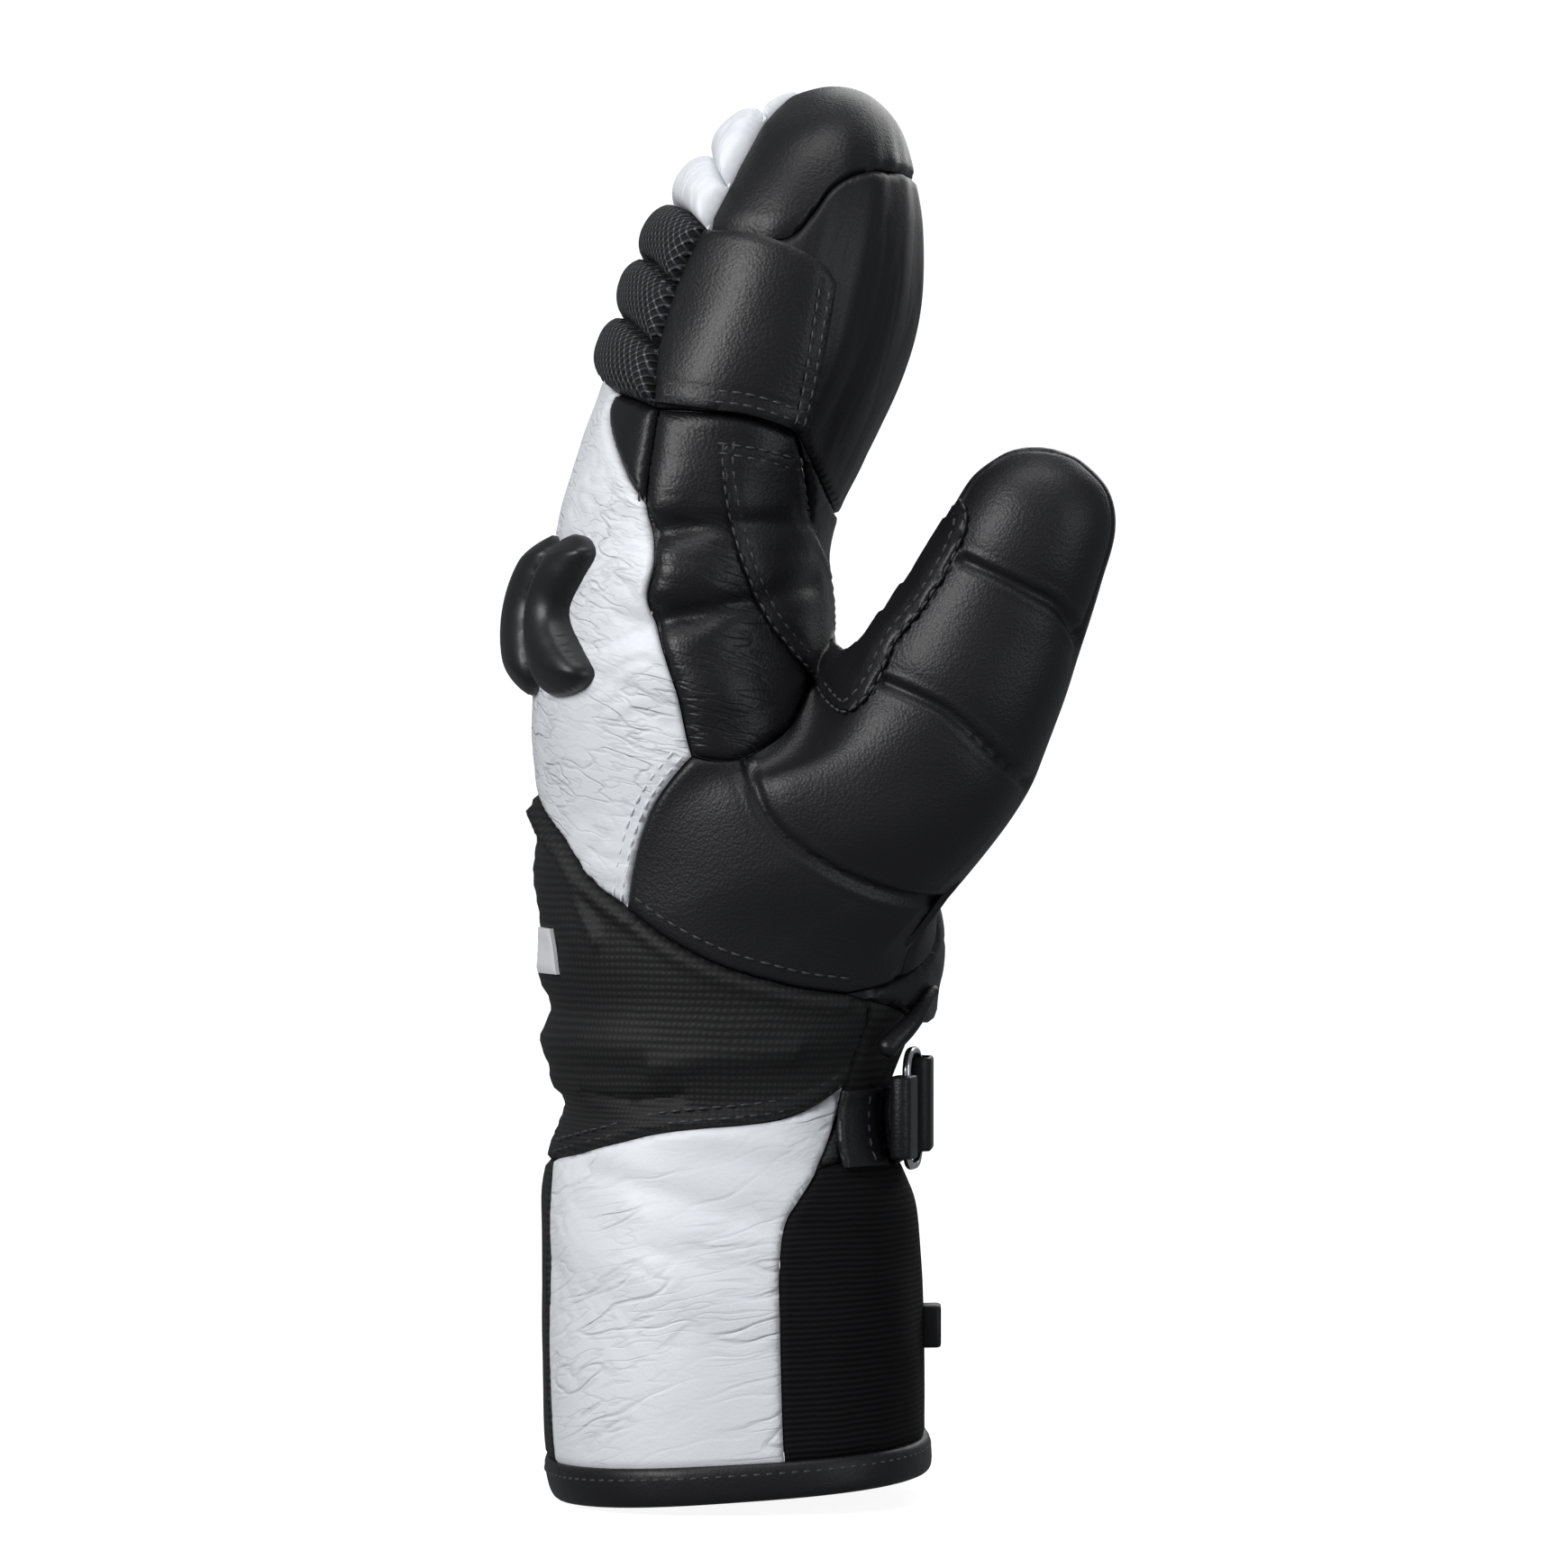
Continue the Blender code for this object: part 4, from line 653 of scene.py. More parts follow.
def turned_out(faces, points, normals):
    faces = np.asarray(faces)
    a, b, c = points[faces[:, 0]], points[faces[:, 1]], points[faces[:, 2]]
    agreement = (np.cross(b - a, c - a) * normals[faces[:, 0]]).sum()
    return faces if agreement > 0 else faces[:, ::-1]


def filled(loop, pitch, fine):
    """A flat loop filled with triangles about a pitch wide: their points, the loop's first, and the faces."""
    low, high = loop.min(0), loop.max(0)
    rows = np.arange(low[1] + pitch / 2, high[1], pitch * ROW_SPACING)
    grid = np.concatenate([
        np.stack([xs, np.full(len(xs), y)], 1)
        for k, y in enumerate(rows)
        for xs in [np.arange(low[0] + pitch * (0.25 + 0.5 * (k % 2)), high[0], pitch)]
    ])
    grid = grid[inside(grid, loop)]
    grid = grid[edge_distance(grid, loop) > 0.6 * pitch]
    points = [Vector(p) for p in np.concatenate([loop, grid])]
    edges = [(k, (k + 1) % len(loop)) for k in range(len(loop))]
    found, _, faces, _, _, _ = delaunay_2d_cdt(points, edges, [], 1, fine)
    return np.array([(v.x, v.y) for v in found]), np.array([tuple(f) for f in faces])


def net_over(loop, step):
    """A net over a panel of the pattern, its points about a step apart."""
    rise, turn = flat_scale(loop)
    flat = np.stack([loop[:, 1] * turn, loop[:, 0] * rise], 1)
    found, faces = filled(flat, step, 1e-9)
    along, around = found[:, 1] / rise, found[:, 0] / turn
    points, normals = skin(along, around)
    faces = turned_out(faces, points, normals)
    depth = edge_distance(found, flat)
    net = Net(along, around, found[:, 0], found[:, 1], depth, points, normals, faces)
    net.rise, net.turn = rise, turn
    return net


def from_line(net, rows, side=0):
    """How far each point of a net lies from a line of the pattern."""
    points = line(rows)
    if side == -1:
        points = points * [1, -1]
    flat = np.stack([points[:, 1] * net.turn, points[:, 0] * net.rise], 1)
    return edge_distance(np.stack([net.u, net.v], 1), flat, closed=False)


def plain_mesh(name, verts, faces):
    mesh = bpy.data.meshes.new(name)
    mesh.from_pydata(verts, [], faces)
    mesh.update()
    return mesh


def loft(count, rows, closed=False, capped=False):
    """Faces between rows of count points, each row a ring. closed: the last row joins the first. capped: both
    ends are filled."""
    starts = [(j * count, (j + 1) % rows * count) for j in range(rows if closed else rows - 1)]
    faces = [
        (low + k, low + (k + 1) % count, high + (k + 1) % count, high + k)
        for low, high in starts for k in range(count)
    ]
    if capped:
        faces += [tuple(range(count - 1, -1, -1)), tuple(range((rows - 1) * count, rows * count))]
    return faces


def domed(count, rows):
    """Faces between rows of points that close over one last point."""
    pole, last = rows * count, (rows - 1) * count
    return loft(count, rows) + [(last + k, last + (k + 1) % count, pole, pole) for k in range(count)]


def thick(name, net, height, low, look, lining=None, draw_in=DRAW_IN):
    """A closed wall over a net, its faces at the given heights over the skin."""
    faces, points, normals = net.faces, net.points.copy(), net.normals
    count = len(points)
    sides = faces.shape[1]
    starts = faces.reshape(-1)
    ends = np.roll(faces, -1, 1).reshape(-1)
    solid = starts != ends
    starts, ends = starts[solid], ends[solid]
    there = set((starts * count + ends).tolist())
    rim = [(k, m) for k, m in zip(starts.tolist(), ends.tolist()) if (m * count + k) not in there]
    if draw_in:
        following, leading = dict(rim), {m: k for k, m in rim}
        keys = np.array(list(following))
        ahead = unit(points[[following[k] for k in keys]] - points[keys])
        behind = unit(points[keys] - points[[leading[k] for k in keys]])
        inward = unit(np.cross(normals[keys], unit(ahead + behind)))
        points[keys] += inward * draw_in
    height = np.broadcast_to(height, count)
    low = np.broadcast_to(low, count)
    verts = np.concatenate([points + normals * height[:, None], points + normals * low[:, None]])
    polys = [tuple(dict.fromkeys(f)) for f in faces.tolist()]
    under = [tuple(k + count for k in reversed(f)) for f in polys]
    around = [(m, k, k + count, m + count) for k, m in rim]
    mesh = plain_mesh(name, verts, polys + under + around)
    marks = np.concatenate([np.zeros(len(polys), int), np.ones(len(under), int), np.zeros(len(around), int)])
    obj = add(name, mesh, look, lining if lining else look)
    mesh.polygons.foreach_set("material_index", marks)
    layer = mesh.uv_layers.new(name="pattern")
    loops = np.empty(len(mesh.loops), int)
    mesh.loops.foreach_get("vertex_index", loops)
    flat = np.stack([net.u, net.v], 1) / MM
    layer.data.foreach_set("uv", flat[loops % count].reshape(-1))
    return obj


def add(name, mesh, *looks):
    mesh.shade_smooth()
    mesh.set_sharp_from_angle(angle=math.radians(55))
    for look in looks:
        mesh.materials.append(look)
    obj = bpy.data.objects.new(name, mesh)
    bpy.context.scene.collection.objects.link(obj)
    return obj


def own(piece, slot, *nodes, fill=None):
    """Ride on the one body and stand for its solids, which are hidden. slot is not used. fill is not used."""
    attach(piece, "root")
    if nodes:
        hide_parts(*nodes)
    return piece


def rounded(share):
    share = np.clip(share, 0.0, 1.0)
    return np.sqrt(np.maximum(1.0 - (1.0 - share) ** 2, 0.0))


def edge(depth, width=2.2 * MM, drop=1.0 * MM):
    """How far a panel's skin turns down to its seam."""
    return drop * (rounded(depth / width) - 1.0)


def trench(depth, middle, deep=0.25 * MM, wide=0.55 * MM):
    """The dent that a row of stitches pulls into the leather."""
    return -deep * np.exp(-((depth - middle) / wide) ** 2)


# Pieces draped over what lies under them, as seen from the front.


def seen(points):
    """Where points appear in the front view, in millimetres right of the origin and up."""
    reach = (VIEW_DISTANCE / (VIEW_DISTANCE + points[:, 1]))[:, None]
    return (np.array([VIEW_X, VIEW_Z]) + (points[:, [0, 2]] - [VIEW_X, VIEW_Z]) * reach) / MM


def flat_line(rows, step=1.0):
    """A smooth line of the front view, with points about a step apart."""
    rows = np.asarray(rows, float)
    fine = curve(rows, np.linspace(0, len(rows) - 1, CURVE_STEPS * (len(rows) - 1) + 1))
    count = max(2, round(np.linalg.norm(np.diff(fine, axis=0), axis=1).sum() / step))
    steps = np.concatenate([[0.0], np.cumsum(np.linalg.norm(np.diff(fine, axis=0), axis=1))])
    even = np.linspace(0, steps[-1], count + 1)
    return np.stack([np.interp(even, steps, fine[:, k]) for k in range(2)], 1)


def outer_tree(pieces):
    verts, polys, first = [], [], 0
    for piece in pieces:
        mesh = piece.data
        verts += [tuple(v.co) for v in mesh.vertices]
        polys += [tuple(k + first for k in p.vertices) for p in mesh.polygons if p.material_index == 0]
        first += len(mesh.vertices)
    return BVHTree.FromPolygons(verts, polys)


def drape(tree, flat):
    """Points of the front view laid on what they cover. Past its edge they wrap round it."""
    places = np.zeros((len(flat), 3))
    hit = np.zeros(len(flat), bool)
    for k, (x, z) in enumerate(flat):
        found = tree.ray_cast(EYE, Vector((x * MM, 0.0, z * MM)) - EYE)[0]
        if found is not None and found.y < 0.03:
            places[k], hit[k] = found, True
    missed = np.flatnonzero(~hit)
    there = flat[hit]
    for k in missed:
        off = np.linalg.norm(there - flat[k], axis=1)
        near = off.argmin()
        start = places[hit][near]
        aim = start + np.array([0.0, off[near] * MM * 1.2, 0.0])
        places[k] = tree.find_nearest(Vector(aim))[0]
    return places, hit


def net_normals(points, faces):
    a, b, c = points[faces[:, 0]], points[faces[:, 1]], points[faces[:, 2]]
    cross = np.cross(b - a, c - a)
    normals = np.zeros_like(points)
    for k in range(3):
        np.add.at(normals, faces[:, k], cross)
    return unit(normals)


def draped(name, loop, step, height, tree, look, slot, *nodes, low=0.2 * MM, lining=None):
    """A sewn-on piece whose outline is given in the front view."""
    flat, faces = filled(loop, step / MM, 1e-6)
    points, _ = drape(tree, flat)
    links = np.concatenate([faces[:, [0, 1]], faces[:, [1, 2]], faces[:, [2, 0]]])
    links = np.concatenate([links, links[:, ::-1]])
    share = np.maximum(np.bincount(links[:, 0], minlength=len(flat)), 1)[:, None]

    def beside(values):
        """Each point's neighbours' values, added up."""
        total = np.zeros_like(values)
        np.add.at(total, links[:, 0], values[links[:, 1]])
        return total

    for turn in range(SETTLE_TURNS):
        # Points that sank into a seam come up, and all are evened out a little at first.
        middle = beside(points) / share
        far = np.linalg.norm(middle - points, axis=1, keepdims=True) > SETTLE_OVER
        points = np.where(far, middle, points * 0.6 + middle * 0.4 if turn < EVEN_TURNS else points)
    for _ in range(RISE_ROUNDS):
        # Points that lie behind what they cover come out to it.
        for k, point in enumerate(points):
            towards = Vector(point) - EYE
            found = tree.ray_cast(EYE, towards)[0]
            if found is not None and 0.0 < towards.length - (found - EYE).length < RISE_FROM:
                points[k] = found
        for _ in range(2):
            points = points * 0.5 + beside(points) / share * 0.5
    normals = net_normals(points, faces)
    if normals[:, 1].mean() > 0:
        faces, normals = faces[:, ::-1], -normals
    for _ in range(3):
        normals = unit(normals + beside(normals))
    u, v = flat.T * MM
    net = Net(None, None, u, v, edge_distance(flat, loop) * MM, points, normals, faces)
    piece = thick(name, net, height(net), low, look, lining, draw_in=0.0)
    return own(piece, slot, *nodes)


def draped_row(tree, rows, offset, key, height, **shape):
    """Stitches beside a line of the front view, offset to its left, in millimetres."""
    points = flat_line(rows, 1.0)
    run = unit(np.gradient(points, axis=0))
    points = points + np.stack([-run[:, 1], run[:, 0]], 1) * offset
    places, hit = drape(tree, points)
    places = places[hit]
    for _ in range(2):
        places[1:-1] = (places[:-2] + places[1:-1] * 2 + places[2:]) / 4
    normals = np.array([tuple(tree.find_nearest(Vector(p))[1]) for p in places])
    for _ in range(4):
        normals[1:-1] = unit(normals[:-2] + normals[1:-1] + normals[2:])
    normals[normals[:, 1] > 0] *= -1
    stitch_along(places + normals * height, normals, key, **shape)


# Stitches.


THREADS = {}


def stitch_along(points, normals, key, length=2.1 * MM, pitch=2.9 * MM, wide=0.50 * MM, sink=0.04 * MM):
    """Thread pieces along a line of points on a surface."""
    points, normals = np.asarray(points), np.asarray(normals)
    steps = np.concatenate([[0.0], np.cumsum(np.linalg.norm(np.diff(points, axis=0), axis=1))])
    total = steps[-1]
    count = int((total - length) / pitch)
    for k in range(max(count, 0) + 1):
        at = (total - count * pitch) / 2 + k * pitch
        ends = []
        for s in np.linspace(at - length / 2, at + length / 2, THREAD_STEPS):
            s = min(max(s, 0.0), total)
            ends.append((
                np.array([np.interp(s, steps, points[:, m]) for m in range(3)]),
                unit(np.array([np.interp(s, steps, normals[:, m]) for m in range(3)])),
            ))
        THREADS.setdefault(key, []).append((ends, wide, sink))


def stitch_row(rows, offset, key, height=0.0, side=0, trim=0.0, **shape):
    """Stitches beside a line of the pattern, offset to its left on the skin."""
    points = line(rows, 1.0 * MM)
    if side == -1:
        points = points * [1, -1]
    if trim:
        cut = int(trim * len(points))
        points = points[cut:len(points) - cut]
    place, normal = skin(points[:, 0], points[:, 1])
    run = unit(np.gradient(place, axis=0))
    aside = unit(np.cross(normal, run))
    stitch_along(place + aside * offset + normal * height, normal, key, **shape)


def make_threads(look_of):
    """All the stitches of one colour, in one piece."""
    sides = loft(THREAD_SIDES, THREAD_STEPS, capped=True)
    last = THREAD_STEPS - 1
    for key, rows in THREADS.items():
        verts, faces = [], []
        for ends, wide, sink in rows:
            first = len(verts)
            for j, (point, normal) in enumerate(ends):
                run = unit(ends[min(j + 1, last)][0] - ends[max(j - 1, 0)][0])
                aside = np.cross(normal, run)
                share = abs(2 * j / last - 1)
                size = wide / 2 * (0.35 if share == 1 else 1.0)
                lift = -sink - wide * 0.45 * share ** 3
                for turn in range(THREAD_SIDES):
                    angle = turn * 2 * PI / THREAD_SIDES
                    c, s = math.cos(angle), math.sin(angle)
                    verts.append(point + normal * (lift + s * size) + aside * (c * size))
            faces += [tuple(first + k for k in face) for face in sides]
        look, slot = look_of[key]
        own(add("stitches_" + key, plain_mesh("stitches_" + key, verts, faces), look), slot)


# Materials.


class Look:
    """A procedural material under construction."""

    def __init__(self, name, colour, roughness, metallic=0.0):
        self.material = bpy.data.materials.new(name)
        self.material.use_nodes = True
        self.tree = self.material.node_tree
        self.shader = self.tree.nodes["Principled BSDF"]
        self.shader.inputs["Base Color"].default_value = (*colour, 1.0)
        self.shader.inputs["Roughness"].default_value = roughness
        self.shader.inputs["Metallic"].default_value = metallic
        if not metallic:
            self.shader.inputs["Specular IOR Level"].default_value = 0.36
        self.coordinates = self.tree.nodes.new("ShaderNodeTexCoord")
        self.normal = None

    def node(self, kind, **values):
        node = self.tree.nodes.new(kind)
        for key, value in values.items():
            if key in node.bl_rna.properties:
                setattr(node, key, value)
            else:
                self.put(node.inputs[key], value)
        return node

    def put(self, socket, value):
        if isinstance(value, bpy.types.NodeSocket):
            self.tree.links.new(value, socket)
        else:
            socket.default_value = value

    def math(self, operation, a, b=0.0, clamp=False):
        node = self.tree.nodes.new("ShaderNodeMath")
        node.operation = operation
        node.use_clamp = clamp
        self.put(node.inputs[0], a)
        self.put(node.inputs[1], b)
        return node.outputs[0]

    def noise(self, scale, detail=2.0, rough=0.5, vector=None):
        node = self.node("ShaderNodeTexNoise", Scale=scale, Detail=detail, Roughness=rough)
        self.put(node.inputs["Vector"], vector or self.coordinates.outputs["Object"])
        return node.outputs["Fac"]

    def cells(self, scale, feature="F1", vector=None):
        node = self.node("ShaderNodeTexVoronoi", feature=feature, Scale=scale)
        self.put(node.inputs["Vector"], vector or self.coordinates.outputs["Object"])
        return node.outputs["Distance"]

    def ranged(self, value, low, high, to_low, to_high):
        node = self.tree.nodes.new("ShaderNodeMapRange")
        for socket, number in zip(list(node.inputs)[:5], (value, low, high, to_low, to_high)):
            self.put(socket, number)
        return node.outputs[0]

    def tint(self, factor, first, second):
        node = self.tree.nodes.new("ShaderNodeMix")
        node.data_type = "RGBA"
        self.put(node.inputs[0], factor)
        for socket, value in ((node.inputs[6], first), (node.inputs[7], second)):
            self.put(socket, (*value, 1.0) if isinstance(value, tuple) else value)
        return node.outputs[2]

    def colour(self, value):
        self.put(self.shader.inputs["Base Color"], value)

    def rough(self, value):
        self.put(self.shader.inputs["Roughness"], value)

    def bump(self, height, distance, strength=1.0):
        node = self.node("ShaderNodeBump", Strength=strength, Distance=distance)
        self.put(node.inputs["Height"], height)
        if self.normal is not None:
            self.put(node.inputs["Normal"], self.normal)
        self.normal = node.outputs["Normal"]
        self.put(self.shader.inputs["Normal"], self.normal)

    def pattern(self):
        """The flat pattern's coordinates, in millimetres: across and up."""
        source = self.node("ShaderNodeUVMap", uv_map="pattern")
        split = self.tree.nodes.new("ShaderNodeSeparateXYZ")
        self.put(split.inputs[0], source.outputs[0])
        return split.outputs[0], split.outputs[1]


def wrinkles(look, run, pitch, turn, width, key):
    """Thin creases over the flat pattern: 0 in one, 1 between. run and pitch in mm, turn in degrees."""
    across, up = look.pattern()
    c, s = math.cos(math.radians(turn)), math.sin(math.radians(turn))
    along = look.math("ADD", look.math("MULTIPLY", across, c / run), look.math("MULTIPLY", up, s / run))
    beside = look.math("ADD", look.math("MULTIPLY", up, c / pitch), look.math("MULTIPLY", across, -s / pitch))
    beside = look.math("ADD", beside, look.math("MULTIPLY", look.noise(70.0, 1.0), 0.8))
    place = look.node("ShaderNodeCombineXYZ", X=along, Y=beside, Z=key).outputs[0]
    off = look.math("ABSOLUTE", look.math("SUBTRACT", look.noise(1.0, 1.5, 0.5, place), 0.5))
    crease = look.ranged(off, 0.0, width, 1.0, 0.0)
    here = look.ranged(look.noise(38.0, 1.0), 0.40, 0.60, 0.15, 1.0)
    return look.math("SUBTRACT", 1.0, look.math("MULTIPLY", crease, here))


def shade(colour, share):
    return tuple(min(c * share, 1.0) for c in colour)


def leather(name, colour, roughness, grain, depth, spread=0.05, crease=0.0, mottle=0.12, folds=(), crease_shade=0.8):
    """Leather: cells of grain, their size in mm, soft mottling, faint worn highs, crumples and folds, with
    painted shade darkening the folds' creases.
    """
    look = Look(name, colour, roughness)
    cells = look.cells(1000.0 / grain)
    fine = look.noise(2600.0 / grain, 3.0, 0.6)
    pebble = look.math("ADD", look.math("MULTIPLY", cells, 0.75), look.math("MULTIPLY", fine, 0.35))
    broad = look.noise(55.0, 4.0, 0.55)
    tone = look.tint(broad, shade(colour, 1 - mottle), shade(colour, 1 + mottle))
    for run, pitch, turn, width, deep, key in folds:
        fold = wrinkles(look, run, pitch, turn, width, key)
        # Painted shade: each fold's crease is painted darker.
        tone = look.tint(fold, shade(colour, crease_shade), tone)
        look.bump(fold, deep)
    look.colour(tone)
    wear = look.math("ADD", look.math("MULTIPLY", broad, 0.7), look.math("MULTIPLY", cells, 0.3))
    look.rough(look.ranged(wear, 0.2, 0.8, roughness - spread, roughness + spread))
    if crease:
        look.bump(look.noise(220.0, 5.0, 0.62), crease)
    look.bump(pebble, depth)
    return look.material


def ribbed(name, colour, roughness, pitch, depth, broken=0.0, shine=0.15):
    """Ribbed cloth: ribs across the pattern, pitch in mm, broken into loops where asked. The rib valleys get
    painted shade and the crests a painted highlight.
    """
    look = Look(name, colour, roughness)
    across, up = look.pattern()
    wobble = look.math("MULTIPLY", look.noise(90.0, 2.0), 0.8)
    ribs = look.math("SINE", look.math("MULTIPLY", look.math("ADD", up, wobble), 2 * PI / pitch))
    height = look.math("ADD", look.math("MULTIPLY", ribs, 0.5), 0.5)
    if broken:
        loops = look.math("SINE", look.math("MULTIPLY", across, 2 * PI / broken))
        height = look.math("MULTIPLY", height, look.ranged(loops, -1.0, 1.0, 0.35, 1.0))
    fuzz = look.noise(3500.0, 2.0, 0.7)
    # Painted shade and highlight: the rib valleys are painted darker and the rib crests lighter.
    look.colour(look.tint(height, shade(colour, 0.35), shade(colour, 1.9)))
    look.rough(look.ranged(fuzz, 0.0, 1.0, roughness - 0.08, roughness + 0.08))
    look.bump(look.math("ADD", height, look.math("MULTIPLY", fuzz, 0.35)), depth)
    look.shader.inputs["Specular IOR Level"].default_value = shine
    return look.material


def knit_mesh(name, colour, thread, pitch):
    """Open knit: diamonds of thread round small dark holes, pitch in mm. The holes are dark partly as the
    backing seen through and partly as painted shade, and the knots get a painted highlight.
    """
    look = Look(name, colour, 0.6)
    across, up = look.pattern()
    one = look.math("MULTIPLY", look.math("ADD", across, look.math("MULTIPLY", up, 1.25)), PI / pitch)
    two = look.math("MULTIPLY", look.math("SUBTRACT", across, look.math("MULTIPLY", up, 1.25)), PI / pitch)
    one, two = (look.math("ABSOLUTE", look.math("COSINE", wave)) for wave in (one, two))
    cords = look.math("MAXIMUM", one, two)
    knots = look.ranged(look.math("MINIMUM", one, two), 0.90, 0.98, 0.0, 1.0)
    fibre = look.noise(2400.0, 2.0, 0.6)
    web = look.ranged(cords, 0.70, 0.99, 0.0, 1.0)
    # Painted shade in the holes between the cords, partly the dark backing seen through, and a painted
    # highlight on the knots where the cords cross.
    look.colour(look.tint(knots, look.tint(web, shade(colour, 0.25), thread), shade(thread, 5.0)))
    look.rough(look.ranged(web, 0.0, 1.0, 0.8, 0.42))
    look.bump(look.math("ADD", web, look.math("MULTIPLY", fibre, 0.25)), 0.55 * MM)
    return look.material


def hard(name, colour, roughness):
    look = Look(name, colour, roughness)
    broad = look.noise(70.0, 3.0)
    look.colour(look.tint(broad, shade(colour, 0.85), shade(colour, 1.2)))
    look.rough(look.ranged(look.noise(240.0, 4.0, 0.6), 0.3, 0.7, roughness - 0.04, roughness + 0.06))
    look.bump(look.noise(1800.0, 2.0), 0.012 * MM)
    return look.material


def metal(name, colour, roughness):
    look = Look(name, colour, roughness, 1.0)
    scuffs = look.noise(900.0, 4.0, 0.6)
    look.rough(look.ranged(scuffs, 0.3, 0.7, roughness - 0.06, roughness + 0.08))
    look.colour(look.tint(look.noise(120.0), shade(colour, 0.9), shade(colour, 1.08)))
    return look.material


def white_leather(name, folds=(), crease_shade=0.8):
    return leather(
        name, WHITE_TONE, 0.48, 0.75, 0.035 * MM, crease=0.05 * MM, mottle=0.02, folds=folds, crease_shade=crease_shade,
    )


WHITE = white_leather("white_leather")
# For these two the last number is the share of the colour left by the painted shade in the fold creases.
WHITE_BACK = white_leather("white_leather_back", BACK_FOLDS, 0.87)
WHITE_CUFF = white_leather("white_leather_cuff", CUFF_FOLDS, 0.91)
BLACK = leather("black_leather", BLACK_TONE, 0.42, 0.70, 0.075 * MM, crease=0.02 * MM)
# Its folds' creases get painted shade too, at the default share.
CREASED = leather(
    "creased_black_leather", BLACK_TONE, 0.40, 0.70, 0.075 * MM, crease=0.02 * MM, folds=INDEX_FOLDS,
)
FINE = leather("fine_leather", (0.0090, 0.0090, 0.0115), 0.43, 0.62, 0.085 * MM)
MATTE = leather("matte_leather", BLACK_TONE, 0.46, 0.60, 0.04 * MM, crease=0.05 * MM)
STRETCH = ribbed("stretch_cloth", (0.0080, 0.0080, 0.0090), 0.66, 1.5, 0.12 * MM, broken=1.9, shine=0.40)
RIB = ribbed("ribbed_cloth", (0.0035, 0.0035, 0.0042), 0.85, 1.15, 0.12 * MM)
MESH = knit_mesh("knit_mesh", (0.009, 0.009, 0.011), (0.036, 0.037, 0.044), 3.0)
SHELL = hard("moulded_black", (0.011, 0.0115, 0.013), 0.37)
STEEL = metal("steel_wire", (0.62, 0.62, 0.64), 0.22)
LINED = ribbed("brushed_lining", (0.012, 0.012, 0.014), 0.92, 2.0, 0.10 * MM)
CUT = leather("cut_leather_edge", (0.050, 0.050, 0.056), 0.62, 0.30, 0.02 * MM)
THREAD_BLACK = leather("black_thread", (0.048, 0.048, 0.054), 0.50, 0.30, 0.02 * MM)
THREAD_WHITE = leather("white_thread", (0.74, 0.76, 0.80), 0.55, 0.30, 0.02 * MM, mottle=0.05)
TAPE = leather("white_tape", (0.72, 0.73, 0.76), 0.70, 0.50, 0.03 * MM, mottle=0.03)


# The cuff.


def panel(
    name, loop, height, look, slot, *nodes, step=PANEL_FINE, low=-LINING, lining=None, fill=None,
    draw_in=DRAW_IN,
):
    """One panel of the pattern, its height over the skin worked out from its net."""
    net = net_over(loop, step)
    piece = thick(name, net, height(net), low, look, lining, draw_in)
    return own(piece, slot, *nodes, fill=fill)


def puff(net, height, across, up, key):
    """The padding's soft unevenness: its height, and its reach across and up the pattern, in millimetres."""
    return height * MM * noise(net.u / (across * MM), net.v / (up * MM), key)


def soft(width, drop, *puffs):
    """The height of a plain padded panel. width and drop: of its turned-down edge, in millimetres."""
    def height(net):
        return edge(net.depth, width * MM, drop * MM) + sum(puff(net, *values) for values in puffs)
    return height


def cuff_height(side):
    """The soft folds run down from the strap towards the back of the hand."""
    def height(net):
        u, v = net.u * side, net.v
        fall, cross = v * CUFF_FALL_UP + u * CUFF_FALL_ACROSS, u * CUFF_FALL_UP - v * CUFF_FALL_ACROSS
        h = edge(net.depth, 2.0 * MM, 0.9 * MM)
        h += 0.9 * MM * noise(cross / 0.030, fall / 0.012, 3.1) * smooth(0.30, 0.80, net.along)
        h += 0.5 * MM * noise(cross / 0.045, fall / 0.022, 9.1)
        mask = smooth(0.15, 0.75, net.along) * smooth(-0.15, 0.25, noise(u / 0.03, v / 0.03, 5.0))
        return h - 0.30 * MM * mask * creases(cross, fall, 0.018, 0.0055, 1.7)
    return height


def build_cuff():
    near = outline("hem_near", "cuff_palm", "wrist_low", "-cuff_top", "-cuff_back")
    for name, side in (("cuff_leather_near", 1), ("cuff_leather_far", -1)):
        panel(
            name, near * [1, side], cuff_height(side), WHITE_CUFF, "white_leather", name, step=CREASE_FINE,
            lining=LINED,
        )
    panel(
        "cuff_back_panel", outline("hem_back", "cuff_back", "-cuff_top_back", ("-cuff_back", -1)),
        soft(1.8, 0.8, (0.6, 20, 20, 6.0)), STRETCH, "stretch_fabric", "cuff_back_panel", lining=LINED,
    )
    panel(
        "cuff_gusset", outline("hem_palm", ("cuff_palm", 2), "-gusset_top", "-cuff_palm"),
        soft(1.8, 1.0, (0.7, 30, 18, 8.0)), RIB, "ribbed_fabric", "cuff_gusset", lining=LINED,
    )
    build_hem()


